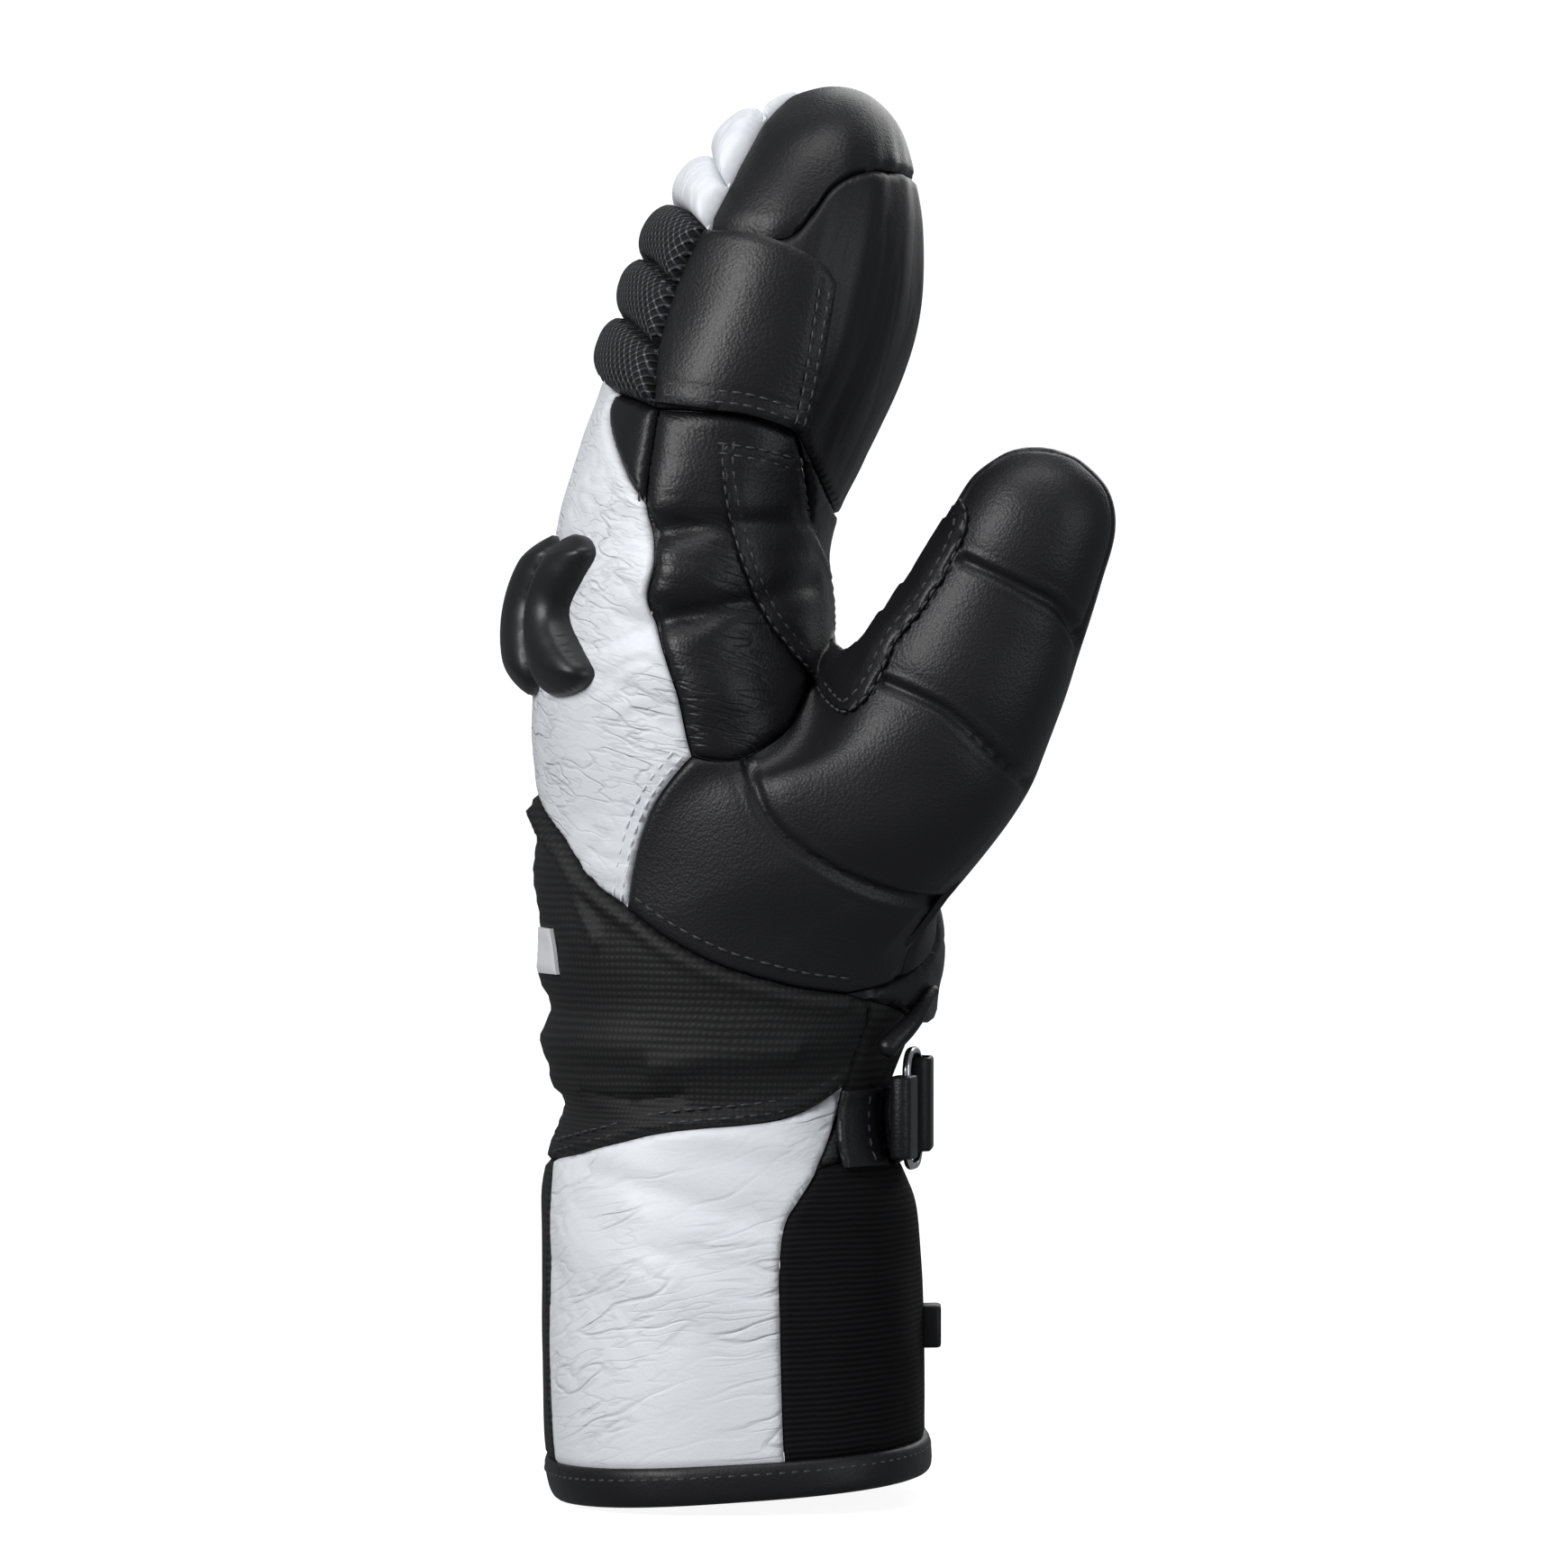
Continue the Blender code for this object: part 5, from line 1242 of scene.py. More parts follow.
def build_hem():
    """The bound hem: a strip of smooth leather folded round the mouth."""
    top = SEAMS["hem_back"][0][0]
    around = np.linspace(0, 2, HEM_COLUMNS, endpoint=False)
    low_points, low_normals = skin(np.zeros(HEM_COLUMNS), around)
    high_points, high_normals = skin(np.full(HEM_COLUMNS, top + HEM_LAP), around)
    verts = []
    for j in range(HEM_ROWS):
        # A flattened ring: up the outside, then over into the mouth.
        turn = 2 * PI * j / HEM_ROWS
        c, s = math.cos(turn), math.sin(turn)
        up = 0.5 + 0.5 * math.copysign(abs(s) ** 0.7, s)
        out = math.copysign(abs(c) ** 0.6, c)
        base = low_points + (high_points - low_points) * up
        normal = unit(low_normals + (high_normals - low_normals) * up)
        ripple = 0.10 * MM * noise(around * 60, np.full(HEM_COLUMNS, up * 2), 4.0)
        offset = -HEM_WALL / 2 + HEM_PROUD + out * (HEM_WALL / 2 + 0.2 * MM) + ripple * (out > 0)
        verts.append(base + normal * offset[:, None])
    mesh = plain_mesh("hem_binding", np.concatenate(verts), loft(HEM_COLUMNS, HEM_ROWS, closed=True))
    own(add("hem_binding", mesh, MATTE), "matte_leather", "hem_binding")
    points, normals = skin(np.full(HEM_STEPS, top * HEM_STITCH), np.linspace(0, 2, HEM_STEPS))
    stitch_along(points + normals * (HEM_PROUD + 0.1 * MM), normals, "black", pitch=2.6 * MM, length=1.8 * MM)


# The wrist.


def turned_strip(distance, rise, width):
    """The strip turned in and sewn beside a seam, a little proud. rise and width in millimetres."""
    return rise * MM * smooth((width + 1.0) * MM, width * MM, distance) * smooth(0.6 * MM, 1.6 * MM, distance)


def wrist_height(net):
    h = edge(net.depth, 2.0 * MM, 1.0 * MM)
    for side in (1, -1):
        bound = np.minimum(from_line(net, SEAMS["low_side"], side), from_line(net, SEAMS["low_thumb"], side))
        h += turned_strip(np.minimum(bound, from_line(net, SEAMS["low_back"], side)), 0.55, 3.2)
        h += turned_strip(from_line(net, SEAMS["cuff_top"], side), 0.45, 4.2)
        for rise, reach, rows in WRIST_LINES:
            h += rise * MM * np.exp(-(from_line(net, rows, side) / (reach * MM)) ** 2)
    inner = smooth(4.0 * MM, 9.0 * MM, net.depth)
    h += inner * puff(net, 0.6, 24, 7.5, 12.0)
    gather = np.exp(-(((net.around + 1) % 2 - 1) / 0.26) ** 2)
    waver = 2.0 * noise(net.u / 0.012, net.v / 0.01, 2.0)
    return h + inner * gather * 0.12 * MM * np.sin(net.v / (0.55 * MM) + waver)


def build_wrist():
    panel(
        "wrist_panel",
        outline(
            ("-cuff_top", -1), "cuff_top_back", "cuff_top", "wrist_high", "-low_notch", "-low_thumb",
            "-low_side", "-low_back", ("low_side", -1), ("low_thumb", -1), ("low_notch", -1),
            ("-wrist_high", -1),
        ),
        wrist_height, STRETCH, "stretch_fabric", "wrist_panel", step=1.25 * MM,
    )
    panel(
        "wrist_palm_panel",
        outline("gusset_top", ("wrist_low", 2), ("wrist_high", 2), "-low_palm", "-wrist_high", "-wrist_low"),
        soft(2.0, 1.0, (0.8, 18, 8, 22.0)), STRETCH, "stretch_fabric", "wrist_palm_panel",
    )
    for side in (1, -1):
        for name in ("low_side", "low_thumb"):
            stitch_row(SEAMS[name], side * 3.6 * MM, "black", 0.45 * MM, side)
        for offset in (1.6, 4.0):
            stitch_row(SEAMS["cuff_top"], side * offset * MM, "black", 0.35 * MM, side)


# The hand.


def back_height(net):
    h = edge(net.depth, 2.4 * MM, 1.0 * MM) + puff(net, 0.9, 28, 16, 31.0)
    mask = smooth(-0.25, 0.20, noise(net.u / 0.03, net.v / 0.025, 33.0))
    h -= 0.40 * MM * mask * creases(net.u, net.v, 0.018, 0.0050, 35.0)
    return h + trench(from_line(net, SEAMS["back_edge_low"]), 2.2 * MM, 0.3 * MM)


def index_height(net):
    h = edge(net.depth, 4.5 * MM, 2.0 * MM)
    for along, tilt in INDEX_CREASES:
        off = (net.along - along - tilt * (net.around - 0.47)) * net.rise
        h -= 1.2 * MM * np.exp(-(off / (2.2 * MM)) ** 2)
        near = np.exp(-(off / (9.0 * MM)) ** 2)
        h -= 0.30 * MM * near * creases(net.u, net.v, 0.012, 0.0040, 40.0 + along, 0.13)
    return h + puff(net, 0.7, 12, 12, 43.0)


def palm_height(net):
    h = edge(net.depth, 2.2 * MM, 1.0 * MM) + puff(net, 1.0, 25, 30, 61.0)
    bulge = np.exp(-((net.along - HEEL_ALONG) / HEEL_REACH) ** 2) * smooth(0.5 * MM, 2.0 * MM, net.depth)
    return h + HEEL_BULGE * bulge - 0.25 * MM * creases(net.u + net.v * 0.5, net.v, 0.02, 0.008, 63.0, 0.08)


def far_height(net):
    h = edge(net.depth, 3.0 * MM, 1.4 * MM) + puff(net, 0.8, 15, 12, 71.0)
    return h - 0.3 * MM * creases(net.u, net.v, 0.014, 0.004, 73.0)


def build_hand():
    panel(
        "hand_back_panel",
        outline(
            "low_back", "back_edge_low", "back_edge_high", "insert_left", "-knuckle_top",
            ("-far_back_edge", 1),
        ),
        back_height, WHITE_BACK, "white_leather", "hand_back_panel", step=CREASE_FINE,
    )
    panel(
        "finger_base_insert", outline("insert_left", "insert_top", "-insert_right"),
        soft(3.5, 1.6, (0.3, 8, 10, 51.0)), BLACK, "black_leather", "finger_base_insert", step=1.0 * MM,
    )
    index = panel(
        "index_base_panel",
        outline("-index_low", "-index_right", "-index_top", "-insert_right", "-back_edge_high"),
        index_height, CREASED, "black_leather", "index_base_panel", step=1.1 * MM, fill=0.6,
    )
    heel = panel(
        "palm_panel",
        outline(
            "low_notch", "low_palm", ("-low_notch", 2), ("-low_thumb", 2), "far_palm_edge", "-finger_crease",
            "index_right", "-thumb_hidden",
        ),
        palm_height, MATTE, "matte_leather", "palm_panel",
    )
    panel(
        "far_side_panel", outline(("-low_side", 2), "far_back_edge", ("index_top", 2), "-far_palm_edge"),
        far_height, BLACK, "black_leather", "far_side_panel", fill=0.5,
    )
    for offset in (1.3 * MM, 3.4 * MM):
        stitch_row(SEAMS["back_edge_low"], offset, "white", 0.0, trim=0.03)
    stitch_row(SEAMS["insert_right"], 1.2 * MM, "black", -0.5 * MM)
    stitch_row(SEAMS["far_back_edge"], -2.0 * MM, "white", 0.0)
    return [index, heel]


# The fingers.


def roll_height(key):
    def height(net):
        full = rounded(net.depth / ROLL_SHOULDER)
        return ROLL_HEIGHT * full + puff(net, 0.35, 11, 6, key) * full
    return height


def white_roll_height(key, share=1.0, shoulder=ROLL_SHOULDER):
    def height(net):
        full = rounded(net.depth / shoulder)
        h = ROLL_HEIGHT * share * full + full * puff(net, 0.5, 9, 7, key)
        return h - full * 0.35 * MM * creases(net.v, net.u, 0.010, 0.0035, key + 2.0, 0.12)
    return height


def finger_height(net):
    h = edge(net.depth, 2.2 * MM, 1.0 * MM) + puff(net, 1.4, 16, 55, 81.0) + puff(net, 0.6, 30, 20, 83.0)
    inner = smooth(2 * MM, 6 * MM, net.depth)
    return h - 0.12 * MM * creases(net.v, net.u, 0.035, 0.010, 85.0, 0.08) * inner


def build_fingers():
    finger = panel(
        "finger_palm_panel",
        outline(
            "index_top", "finger_crease", ("-index_top", 2), ("roll_edge_1", 2), ("roll_edge_2", 2),
            ("roll_edge_3", 2), "-cap_seam", "-roll_edge_3", "-roll_edge_2", "-roll_edge_1",
        ),
        finger_height, MATTE, "matte_leather", "finger_palm_panel", step=1.3 * MM,
    )
    for number, (name, lower, edge_name, upper) in enumerate(ROLLS):
        loop = outline(*lower, edge_name, "-" + upper, ("-" + edge_name, -1))
        white = name.startswith("white")
        height = white_roll_height(90.0 + number) if white else roll_height(90.0 + number)
        look, slot = (WHITE, "white_leather") if white else (MESH, "mesh_fabric")
        panel(name, loop, height, look, slot, name, step=ROLL_FINE, fill=0.8)
    panel(
        "white_roll_3", outline("valley_5", "-cap_back"), white_roll_height(97.0, 0.4, ROLL_SHOULDER * 0.5),
        WHITE, "white_leather", "white_roll_3", step=ROLL_FINE, fill=0.6,
    )
    build_cap()
    return [finger]


def build_cap():
    """The fingertip: columns from a ring of seam points up to one pole."""
    base = np.concatenate([
        seam("cap_back")[:-1], seam("-cap_edge_2")[:-1], seam("-cap_edge_1")[:-1], seam("cap_seam")[:-1],
        seam("cap_edge_1", 2)[:-1], seam("cap_edge_2", 2)[:-1],
    ])
    count = len(base)
    start = place_of(base[:, 0])
    last = len(SECTIONS) - 1
    points, normals, along = [], [], []
    for j in range(CAP_ROWS):
        share = 1 - (1 - j / CAP_ROWS) ** 1.25
        here = curve(SECTIONS, start + (last - start) * share)[:, 0]
        p, n = skin(here, base[:, 1])
        points.append(p)
        normals.append(n)
        along.append(here)
    points.append(oval(np.array([last * 1.0]), np.array([0.5])))
    normals.append(np.array([CAP_POLE]))
    along.append(np.array([3.0]))
    points, normals, along = map(np.concatenate, (points, normals, along))
    around = np.concatenate([np.tile(base[:, 1], CAP_ROWS), [0.5]])
    faces = turned_out(np.array(domed(count, CAP_ROWS)), points, normals)
    first = np.concatenate([points[:count]] * CAP_ROWS + [points[:1]])
    depth = np.linalg.norm(points - first, axis=1)
    depth[-1] = CAP_DEPTH
    net = Net(along, around, around * CAP_GIRTH, along * FINGER_LENGTH, depth, points, normals, faces)
    palm_side = np.exp(-(((around % 2) - 0.85) / 0.45) ** 2)
    pleats = np.sin(around * 60 + 3 * noise(around * 4, along * 3, 5.0)) * np.exp(-depth / (5.0 * MM))
    x, y, z = (points / 0.016).T
    height = edge(depth, 3.0 * MM, 1.1 * MM) + 0.35 * MM * pleats * palm_side + 0.5 * MM * noise(x, y, z)
    own(thick("fingertip_cap", net, height, -LINING, BLACK), "black_leather", "fingertip_cap", fill=0.7)


def side_patch_height(net):
    sewn = np.minimum(from_line(net, SIDE_PATCH[1]), from_line(net, SIDE_PATCH[2]))
    h = SEAT + PATCH + edge(net.depth, 1.2 * MM, 0.5 * MM)
    h += trench(sewn, 1.7 * MM, 0.25 * MM) + trench(sewn, 4.0 * MM, 0.25 * MM)
    return h + puff(net, 0.5, 16, 14, 111.0) * smooth(0, 4 * MM, net.depth)


def build_side_patch():
    """The patch over the side of the fingers, sewn along its palm edge and its lower edge."""
    panel(
        "side_patch", patch_outline(SIDE_PATCH), side_patch_height, BLACK, "black_leather", "side_patch",
        step=1.1 * MM, low=0.0, lining=CUT,
    )
    for rows in SIDE_PATCH[1:3]:
        for offset in (-1.7 * MM, -4.0 * MM):
            stitch_row(rows, offset, "black", STITCH_ON_PATCH, trim=0.04)


def guard_loop(middle, side, prong_share):
    rows = np.array([(a, n + p * prong_share, f) for a, n, f, p in GUARD_ROWS])
    near = np.stack([rows[:, 0], middle + side * rows[:, 1]], 1)
    far = np.stack([rows[:, 0], middle + side * rows[:, 2]], 1)
    corners = np.concatenate([near, far[::-1]])
    closed = np.concatenate([corners[-2:], corners, corners[:3]])
    return curve(closed, np.linspace(2, len(corners) + 2, len(corners) * 14, endpoint=False))


def guard_height(net):
    """A guard's dome, arched from end to end."""
    share = (net.along - GUARD_ROWS[0][0]) / (GUARD_ROWS[-1][0] - GUARD_ROWS[0][0])
    arch = 0.15 + 0.95 * rounded(np.minimum(share, 1 - share) / 0.5) ** 0.9
    return SEAT + 0.2 * MM + GUARD_HEIGHT * rounded(net.depth / (GUARD_HEIGHT * 1.15)) * arch


def build_guards():
    for number, (middle, side, prong) in enumerate(GUARD_PLACES, start=1):
        name = f"knuckle_guard_{number}"
        panel(
            name, guard_loop(middle, side, prong), guard_height, SHELL, "hard_black", name, step=0.7 * MM,
            low=-0.4 * MM, draw_in=0.0,
        )


def web_height(net):
    h = PATCH + edge(net.depth, 1.1 * MM, 0.6 * MM)
    h += trench(net.depth, 1.5 * MM, 0.22 * MM) + trench(net.depth, 3.6 * MM, 0.22 * MM)
    return h + puff(net, 0.45, 14, 14, 113.0) * smooth(0, 4 * MM, net.depth)


def build_web(under):
    """The patch over the web: a U from the finger down to the crotch and up the thumb."""
    tree = outer_tree(under)
    loop = np.concatenate([flat_line(rows, 1.2)[:-1] for rows in (WEB_OUTER, WEB_TOP, WEB_FINGER, WEB_THUMB)])
    draped("web_patch", loop, 1.0 * MM, web_height, tree, BLACK, "black_leather", "web_patch", lining=CUT)
    for offset in (-1.5, -3.6):
        for rows in (WEB_OUTER, WEB_TOP):
            draped_row(tree, rows, offset, "black", PATCH - 0.1 * MM)
    draped_row(tree, WEB_FINGER[:3], -1.5, "black", PATCH - 0.1 * MM)


# The thumb.


def thumb_point(place, turn):
    """Points of the free thumb, at a place in its table and a turn round it in degrees."""
    along, aside, depth, lean, width, side = np.moveaxis(curve(THUMB_ROWS, place), -1, 0)
    tilt = math.radians(THUMB_LEAN)
    axis = np.array([math.sin(tilt), 0.0, math.cos(tilt)])
    across = np.array([math.cos(tilt), 0.0, -math.sin(tilt)])
    middle = THUMB_ROOT + along[..., None] * THUMB_LENGTH * axis + aside[..., None] * THUMB_LENGTH * across
    middle[..., 1] = -side * THUMB_SIDE
    slope = np.radians(lean)
    outward = np.stack([np.cos(slope), np.zeros_like(slope), -np.sin(slope)], -1)
    c, s = np.cos(np.radians(turn)), np.sin(np.radians(turn))
    c, s = (np.sign(v) * np.abs(v) ** (2 / THUMB_FULL) for v in (c, s))
    reach = outward * (c * depth * THUMB_DEPTH / 2)[..., None]
    return middle + reach + np.array([0.0, -1.0, 0.0]) * (s * width * THUMB_WIDTH / 2)[..., None]


def thumb_ring():
    """The ring of seams that the thumb grows from: along, around and turn round the thumb."""
    ring = []
    for name, (start, end) in RING_TURNS.items():
        points = seam("-back_edge_low" if name == "back_edge_low" else name)[:-1]
        ring.append(np.column_stack([points, start + (end - start) * np.arange(len(points)) / len(points)]))
    ring = np.concatenate(ring)
    finer = np.linspace(0, len(ring), THUMB_COLUMNS, endpoint=False)
    ring = np.concatenate([ring, ring[:1] + [[0, 0, -360.0]]])
    return np.stack([np.interp(finer, np.arange(len(ring)), ring[:, k]) for k in range(3)], 1)


def thumb_grid(start, out, turn):
    """Rows of points from the ring on the body to the thumb's tip, and how far up the thumb each lies."""
    run = np.roll(start, -1, 0) - np.roll(start, 1, 0)
    square = unit(np.cross(out, run))
    web = np.maximum(-np.cos(np.radians(turn)), 0.0) ** 2
    place_0 = WEB_RISE * web
    first = thumb_point(place_0, turn)
    ahead = unit(thumb_point(place_0 + 0.3, turn) - first)
    chord = first - start
    reach = np.linalg.norm(chord, axis=1) * (1 + WEB_DIP * web)
    straight = unit(chord - out * (chord * out).sum(1)[:, None])
    squareness = np.clip((turn - SQUARE_FROM) / SQUARE_OVER, 0, 1)
    squareness = np.where(turn > 0, squareness, HIDDEN_SQUARENESS)[:, None]
    leave = unit(straight * (1 - squareness) + square * squareness) * reach[:, None]
    arrive = ahead * reach[:, None]
    rows, heights = [], []
    for j in range(ROOT_ROWS):
        f = j / ROOT_ROWS
        rows.append(
            start * (2 * f ** 3 - 3 * f * f + 1) + leave * (f ** 3 - 2 * f * f + f)
            + first * (3 * f * f - 2 * f ** 3) + arrive * (f ** 3 - f * f)
        )
        heights.append(np.full(len(turn), f - 1.0))
    last = len(THUMB_ROWS) - 1
    for j in range(FREE_ROWS):
        place = place_0 + (last - place_0) * (1 - (1 - j / FREE_ROWS) ** 1.15)
        rows.append(thumb_point(place, turn))
        heights.append(curve(THUMB_ROWS, place)[:, 0])
    grid = np.array(rows)
    # Soften the fold where the thumb leaves the body beside the index finger.
    low_rows = np.arange(len(grid))[:, None]
    ease = smooth(0, 5, low_rows) * smooth(ROOT_ROWS * 1.0, ROOT_ROWS * 0.6, low_rows)
    ease = (ease * smooth(70.0, 90.0, turn)[None] * 0.9)[1:-1, :, None]
    for _ in range(EASE_TURNS):
        middle = (np.roll(grid, 1, 1) + np.roll(grid, -1, 1))[1:-1] + grid[2:] + grid[:-2]
        grid[1:-1] += (middle / 4 - grid[1:-1]) * ease
    return grid, np.array(heights)


def thumb_height(points, normals, arc, heights, turns):
    """The thumb's padding, its seams, and its grooves, which fade as the thumb turns away from the front."""
    front = -normals[:, 1]
    facing = smooth(0.08, 0.34, front)
    shown = seen(points)
    h = edge(arc, 2.4 * MM, 1.0 * MM)
    for rows in (GROOVE_HIGH, GROOVE_MIDDLE, GROOVE_LOW):
        off = edge_distance(shown, flat_line(rows), closed=False)
        for deep, wide in (GROOVE_SHARP, GROOVE_DIP):
            h -= facing * deep * np.exp(-(off / wide) ** 2)
        high, place, wide = GROOVE_LIP
        h += facing * high * np.exp(-((off - place) / wide) ** 2)
    h -= smooth(0.30, 0.45, heights) * 0.7 * MM * np.exp(-((front - 0.30) / 0.045) ** 2)
    from_split = np.radians(np.min([np.abs(turns - split) for split in (OUTER_TO, *WEB_SPLITS)], axis=0))
    h -= smooth(0.9, 0.7, heights) * 0.9 * MM * np.exp(-(from_split * THUMB_DEPTH / 2 / (1.1 * MM)) ** 2)
    return h + 0.35 * MM * noise(points[:, 0] / 0.018, points[:, 1] / 0.018, points[:, 2] / 0.014)


def build_thumb():
    along, around, turn = thumb_ring().T
    start, out = skin(along, around)
    grid, heights = thumb_grid(start, out, turn)
    total, count = heights.shape
    tip = thumb_point(np.array([len(THUMB_ROWS) - 1.0]), np.array([0.0]))
    above = np.concatenate([grid[1:], np.repeat(tip[None], count, 1)])
    below = np.concatenate([grid[:1], grid[:-1]])
    normals = unit(np.cross(np.roll(grid, -1, 1) - np.roll(grid, 1, 1), above - below))
    blend = np.minimum(np.arange(total) / 6.0, 1.0)[:, None, None]
    normals = unit(out[None] * (1 - blend) + normals * blend)
    tip_axis = unit(tip[0] * [1, 0, 1] - THUMB_ROOT)
    climb = np.linalg.norm(np.diff(grid, axis=0), axis=2)
    arc = np.concatenate([np.zeros((1, count)), np.cumsum(climb, axis=0)])
    points = np.concatenate([grid.reshape(-1, 3), tip])
    normals = np.concatenate([normals.reshape(-1, 3), tip_axis[None]])
    heights = np.append(heights, 1.0)
    turns = np.append(np.tile(turn, total), 0.0)
    h = thumb_height(points, normals, np.append(arc, arc.max()), heights, turns)
    u, v = turns / 180 * PI * THUMB_DEPTH / 2, heights * THUMB_LENGTH
    faces = np.array(domed(count, total))
    number = np.arange(len(faces))
    outer = (turn > OUTER_TO)[number % count] | (number // count >= total - TIP_ROWS)
    pieces = []
    for name, chosen, look, slot in (
        ("thumb_outer_panel", outer, FINE, "fine_leather"),
        ("thumb_inner_panel", ~outer, MATTE, "matte_leather"),
    ):
        used, flat = np.unique(faces[chosen], return_inverse=True)
        part = turned_out(flat.reshape(-1, 4), points[used], normals[used])
        net = Net(None, None, u[used], v[used], None, points[used], normals[used], part)
        pieces.append(own(thick(name, net, h[used], h[used] - LINING, look), slot, name, fill=0.8))
    return pieces


# Strap, ring, keeper, tabs and piping.


def along_at(height):
    if height < CUFF_LENGTH:
        return height / CUFF_LENGTH
    return 1.0 + (height - CUFF_LENGTH) / PALM_LENGTH


def rounded_loop(width, height, radius, steps=4):
    loop = []
    for cx, cy, start in ((1, 1, 0), (-1, 1, 90), (-1, -1, 180), (1, -1, 270)):
        for k in range(steps + 1):
            turn = math.radians(start + 90 * k / steps)
            x, y = cx * (width / 2 - radius), cy * (height / 2 - radius)
            loop.append((x + radius * math.cos(turn), y + radius * math.sin(turn)))
    return loop


def tube(name, points, radius, look, closed=False, radii=None):
    data = bpy.data.curves.new(name, "CURVE")
    data.dimensions = "3D"
    data.bevel_depth = radius
    data.bevel_resolution = 5
    data.use_fill_caps = True
    spline = data.splines.new("POLY")
    spline.points.add(len(points) - 1)
    for k, point in enumerate(points):
        spline.points[k].co = (*point, 1.0)
        if radii is not None:
            spline.points[k].radius = radii[k]
    spline.use_cyclic_u = closed
    data.materials.append(look)
    obj = bpy.data.objects.new(name, data)
    bpy.context.scene.collection.objects.link(obj)
    return obj


def block(name, look, centre, side, out, section, tall, levels):
    """A block of one rounded section. levels: the height and the size of each of its rings, as shares."""
    verts = [
        centre + side * (x * share) + out * (y * share) + UP * (tall / 2 * rise)
        for rise, share in levels for x, y in section
    ]
    return add(name, plain_mesh(name, verts, loft(len(section), len(levels), capped=True)), look)


def strap_height(net):
    h = SEAT + PATCH + edge(net.depth, 0.9 * MM, 0.5 * MM) + trench(net.depth, 2.0 * MM, 0.2 * MM)
    return h + puff(net, 0.3, 10, 12, 121.0)


def build_strap():
    """The strap's two ends on the wrist, and between them the ring, the folded end and the keeper."""
    middle = zone_height(STRAP_ALONG)
    low, high = along_at(middle - STRAP_WIDTH / 2), along_at(middle + STRAP_WIDTH / 2)
    ends = skin(np.array([STRAP_ALONG, STRAP_ALONG]), np.array([1.0, 0.9]))[0]
    girth = np.linalg.norm(ends[0] - ends[1]) / 0.1
    bar = KEEPER_REACH / 2 - KEEPER_WALL - RING_WIRE / 2 - KEEPER_DEPTH / 2
    clear = RING_WIRE / 2 + 2 * SEAT
    near_end = KEEPER_AROUND - (bar + RING_REACH + clear) / girth
    far_start = KEEPER_AROUND - (bar + RING_REACH - clear - RING_WIRE) / girth
    short_end = ((low, SHORT_FROM[0]), (high, SHORT_FROM[1]), (high, near_end), (low, near_end))
    long_end = ((low, far_start), (high, far_start), (high, LONG_TO[1]), (low, LONG_TO[0]))
    for name, corners in (("wrist_strap_short", short_end), ("wrist_strap_long", long_end)):
        loop = patch_outline(tuple(zip(corners, corners[1:] + corners[:1])))
        panel(name, loop, strap_height, BLACK, "matte_leather", name, step=1.0 * MM, low=SEAT)
    across = near_end - STRAP_ROW
    stitch_row(((low + 0.01, across), (high - 0.01, across)), 0.0, "black", SEAT + PATCH + 0.1 * MM)
    build_keeper(bar)


def build_keeper(bar):
    point, normal = skin(np.array([KEEPER_ALONG]), np.array([KEEPER_AROUND]))
    normal = unit(normal[0] * [1, 1, 0])
    side = np.cross(normal, UP)
    seat = point[0] + normal * (2 * SEAT + PATCH + KEEPER_DEPTH / 2 + KEEPER_PLAY)
    tilt = math.radians(RING_TILT)
    away = side * math.cos(tilt) - normal * math.sin(tilt)
    centre = seat + side * bar + away * (RING_REACH / 2) - UP * RING_DROP
    bend = rounded_loop(RING_REACH, RING_HEIGHT, RING_REACH * 0.36, 10)
    ring = [centre + away * x + UP * y for x, y in bend]
    own(tube("strap_ring", ring, RING_WIRE / 2, STEEL, closed=True), "steel", "strap_ring")
    fold = centre + away * (RING_REACH / 2 - RING_WIRE / 2 + FOLD_AWAY) - UP * FOLD_DROP
    section = rounded_loop(FOLD_REACH, FOLD_DEPTH, FOLD_DEPTH * 0.49, 6)
    folded = block("strap_fold", BLACK, fold, away, np.cross(UP, away), section, STRAP_WIDTH, FOLD_LEVELS)
    own(folded, "matte_leather")
    rings = [(rise, KEEPER_WALL * share) for rise, share in KEEPER_LEVELS]
    rings += [(rise, KEEPER_WALL * (1 - share)) for rise, share in reversed(KEEPER_LEVELS)]
    verts = []
    for rise, shrink in rings:
        wide, deep = KEEPER_REACH - 2 * shrink, KEEPER_DEPTH - 2 * shrink
        flat = rounded_loop(wide, deep, KEEPER_DEPTH * 0.46 - shrink, 8)
        verts += [seat + side * x + normal * y + UP * (KEEPER_HEIGHT / 2 * rise) for x, y in flat]
    mesh = plain_mesh("strap_keeper", verts, loft(len(flat), len(rings), closed=True))
    own(add("strap_keeper", mesh, MATTE), "matte_leather", "strap_keeper")


def build_piping():
    """The piping over the heel, tapered to both ends and half sunk."""
    rows = curve(PIPING_ROWS, np.linspace(0, len(PIPING_ROWS) - 1, PIPING_STEPS))
    radius = PIPING_WIDTH / 2
    points, normals = skin(rows[:, 0], rows[:, 1])
    t = np.linspace(0, 1, PIPING_STEPS)
    radii = (rounded(np.minimum(t, 1 - t) / 0.10) * 0.98 + 0.02) * (0.45 + 0.45 * t)
    points = points + normals * (radius * (0.3 + 0.9 * smooth(0.1, 0.7, t)))[:, None]
    own(tube("heel_piping", points, radius, BLACK, radii=radii), "matte_leather", "heel_piping")


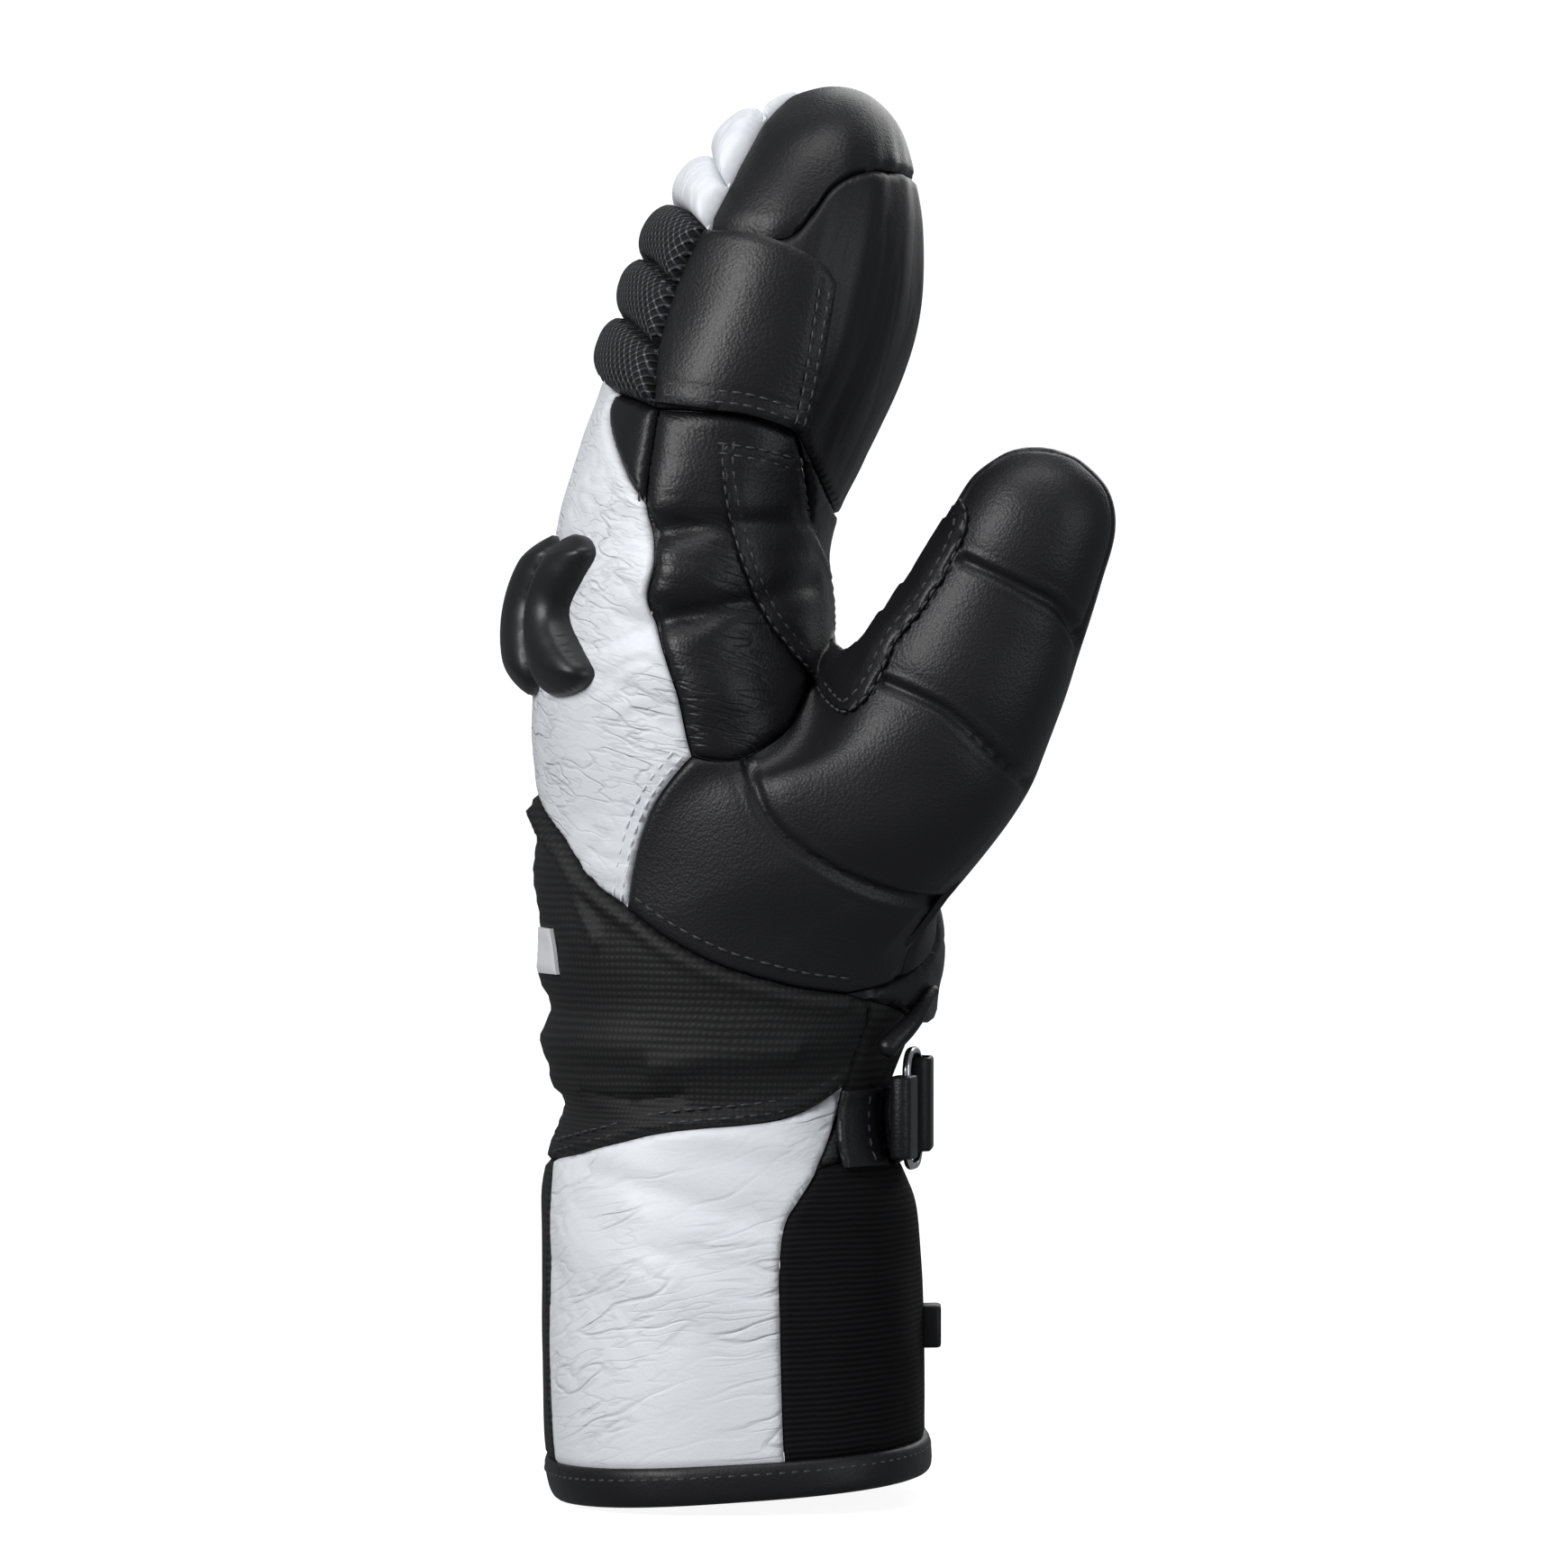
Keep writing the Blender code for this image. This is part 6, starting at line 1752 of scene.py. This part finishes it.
def build_tabs():
    point, normal = skin(np.array([PULL_TAB_PLACE[0]]), np.array([PULL_TAB_PLACE[1]]))
    point, normal = point[0], normal[0]
    reach = PULL_TAB_REACH + 2 * SEAT
    centre = point + normal * (SEAT + PULL_TAB_REACH - reach / 2)
    section = rounded_loop(PULL_TAB_WIDTH, reach, PULL_TAB_REACH * 0.42, 5)
    side = unit(np.cross(normal, UP))
    tab = block("pull_tab", MATTE, centre, side, normal, section, PULL_TAB_HEIGHT, TAB_LEVELS)
    own(tab, "stretch_fabric", "pull_tab")
    panel(
        "wrist_tab", patch_outline(WRIST_TAB),
        lambda net: TAB_HEIGHT + edge(net.depth, 0.6 * MM, 0.3 * MM),
        TAPE, "white_tape", "wrist_tab", step=1.0 * MM, low=0.0,
    )


# Stage.


def build_stage():
    white = Look("pale_studio", (0.40, 0.40, 0.40), 0.9)
    white.shader.inputs["Emission Color"].default_value = (1, 1, 1, 1)
    white.shader.inputs["Emission Strength"].default_value = 0.92
    verts, faces = [], []
    profile = [(SWEEP_FRONT, 0.0), (SWEEP_BACK, 0.0)]
    profile += [
        (SWEEP_BACK + SWEEP_BEND * math.sin(t), SWEEP_BEND - SWEEP_BEND * math.cos(t))
        for t in np.linspace(0.1, PI / 2, 12)
    ]
    profile += [(SWEEP_BACK + SWEEP_BEND, SWEEP_HALF)]
    for y, z in profile:
        verts += [(-SWEEP_HALF, y, z + FLOOR), (SWEEP_HALF, y, z + FLOOR)]
    for k in range(len(profile) - 1):
        faces.append((2 * k, 2 * k + 1, 2 * k + 3, 2 * k + 2))
    sweep = add("studio_sweep", plain_mesh("studio_sweep", verts, faces), white.material)
    sweep.visible_diffuse = False
    sweep.visible_glossy = False
    world = bpy.data.worlds.new("studio")
    bpy.context.scene.world = world
    world.use_nodes = True
    world.node_tree.nodes["Background"].inputs[0].default_value = (0.95, 0.97, 1.0, 1)
    world.node_tree.nodes["Background"].inputs[1].default_value = 0.20
    for name, place, size, power, tone in LIGHTS:
        data = bpy.data.lights.new(name, "AREA")
        data.shape = "RECTANGLE"
        data.size, data.size_y = size
        data.energy = power
        data.color = tone
        lamp = bpy.data.objects.new(name, data)
        lamp.location = place
        lamp.rotation_euler = (Vector(LIT) - Vector(place)).to_track_quat("-Z", "Y").to_euler()
        bpy.context.scene.collection.objects.link(lamp)
    data = bpy.data.cameras.new("camera")
    data.sensor_width = SENSOR
    data.lens = SENSOR * VIEW_DISTANCE / VIEW_WIDTH
    data.clip_end = 20.0
    camera = bpy.data.objects.new("camera", data)
    camera.location = EYE
    camera.rotation_euler = (PI / 2, 0, 0)
    bpy.context.scene.collection.objects.link(camera)
    bpy.context.scene.camera = camera
    bpy.context.scene.view_settings.view_transform = "Standard"


build_stage()
build_cuff()
build_wrist()
under_web = build_hand()
under_web += build_fingers()
under_web += build_thumb()
build_side_patch()
build_web(under_web)
build_guards()
build_strap()
build_piping()
build_tabs()
make_threads({"black": (THREAD_BLACK, "black_leather"), "white": (THREAD_WHITE, "white_leather")})
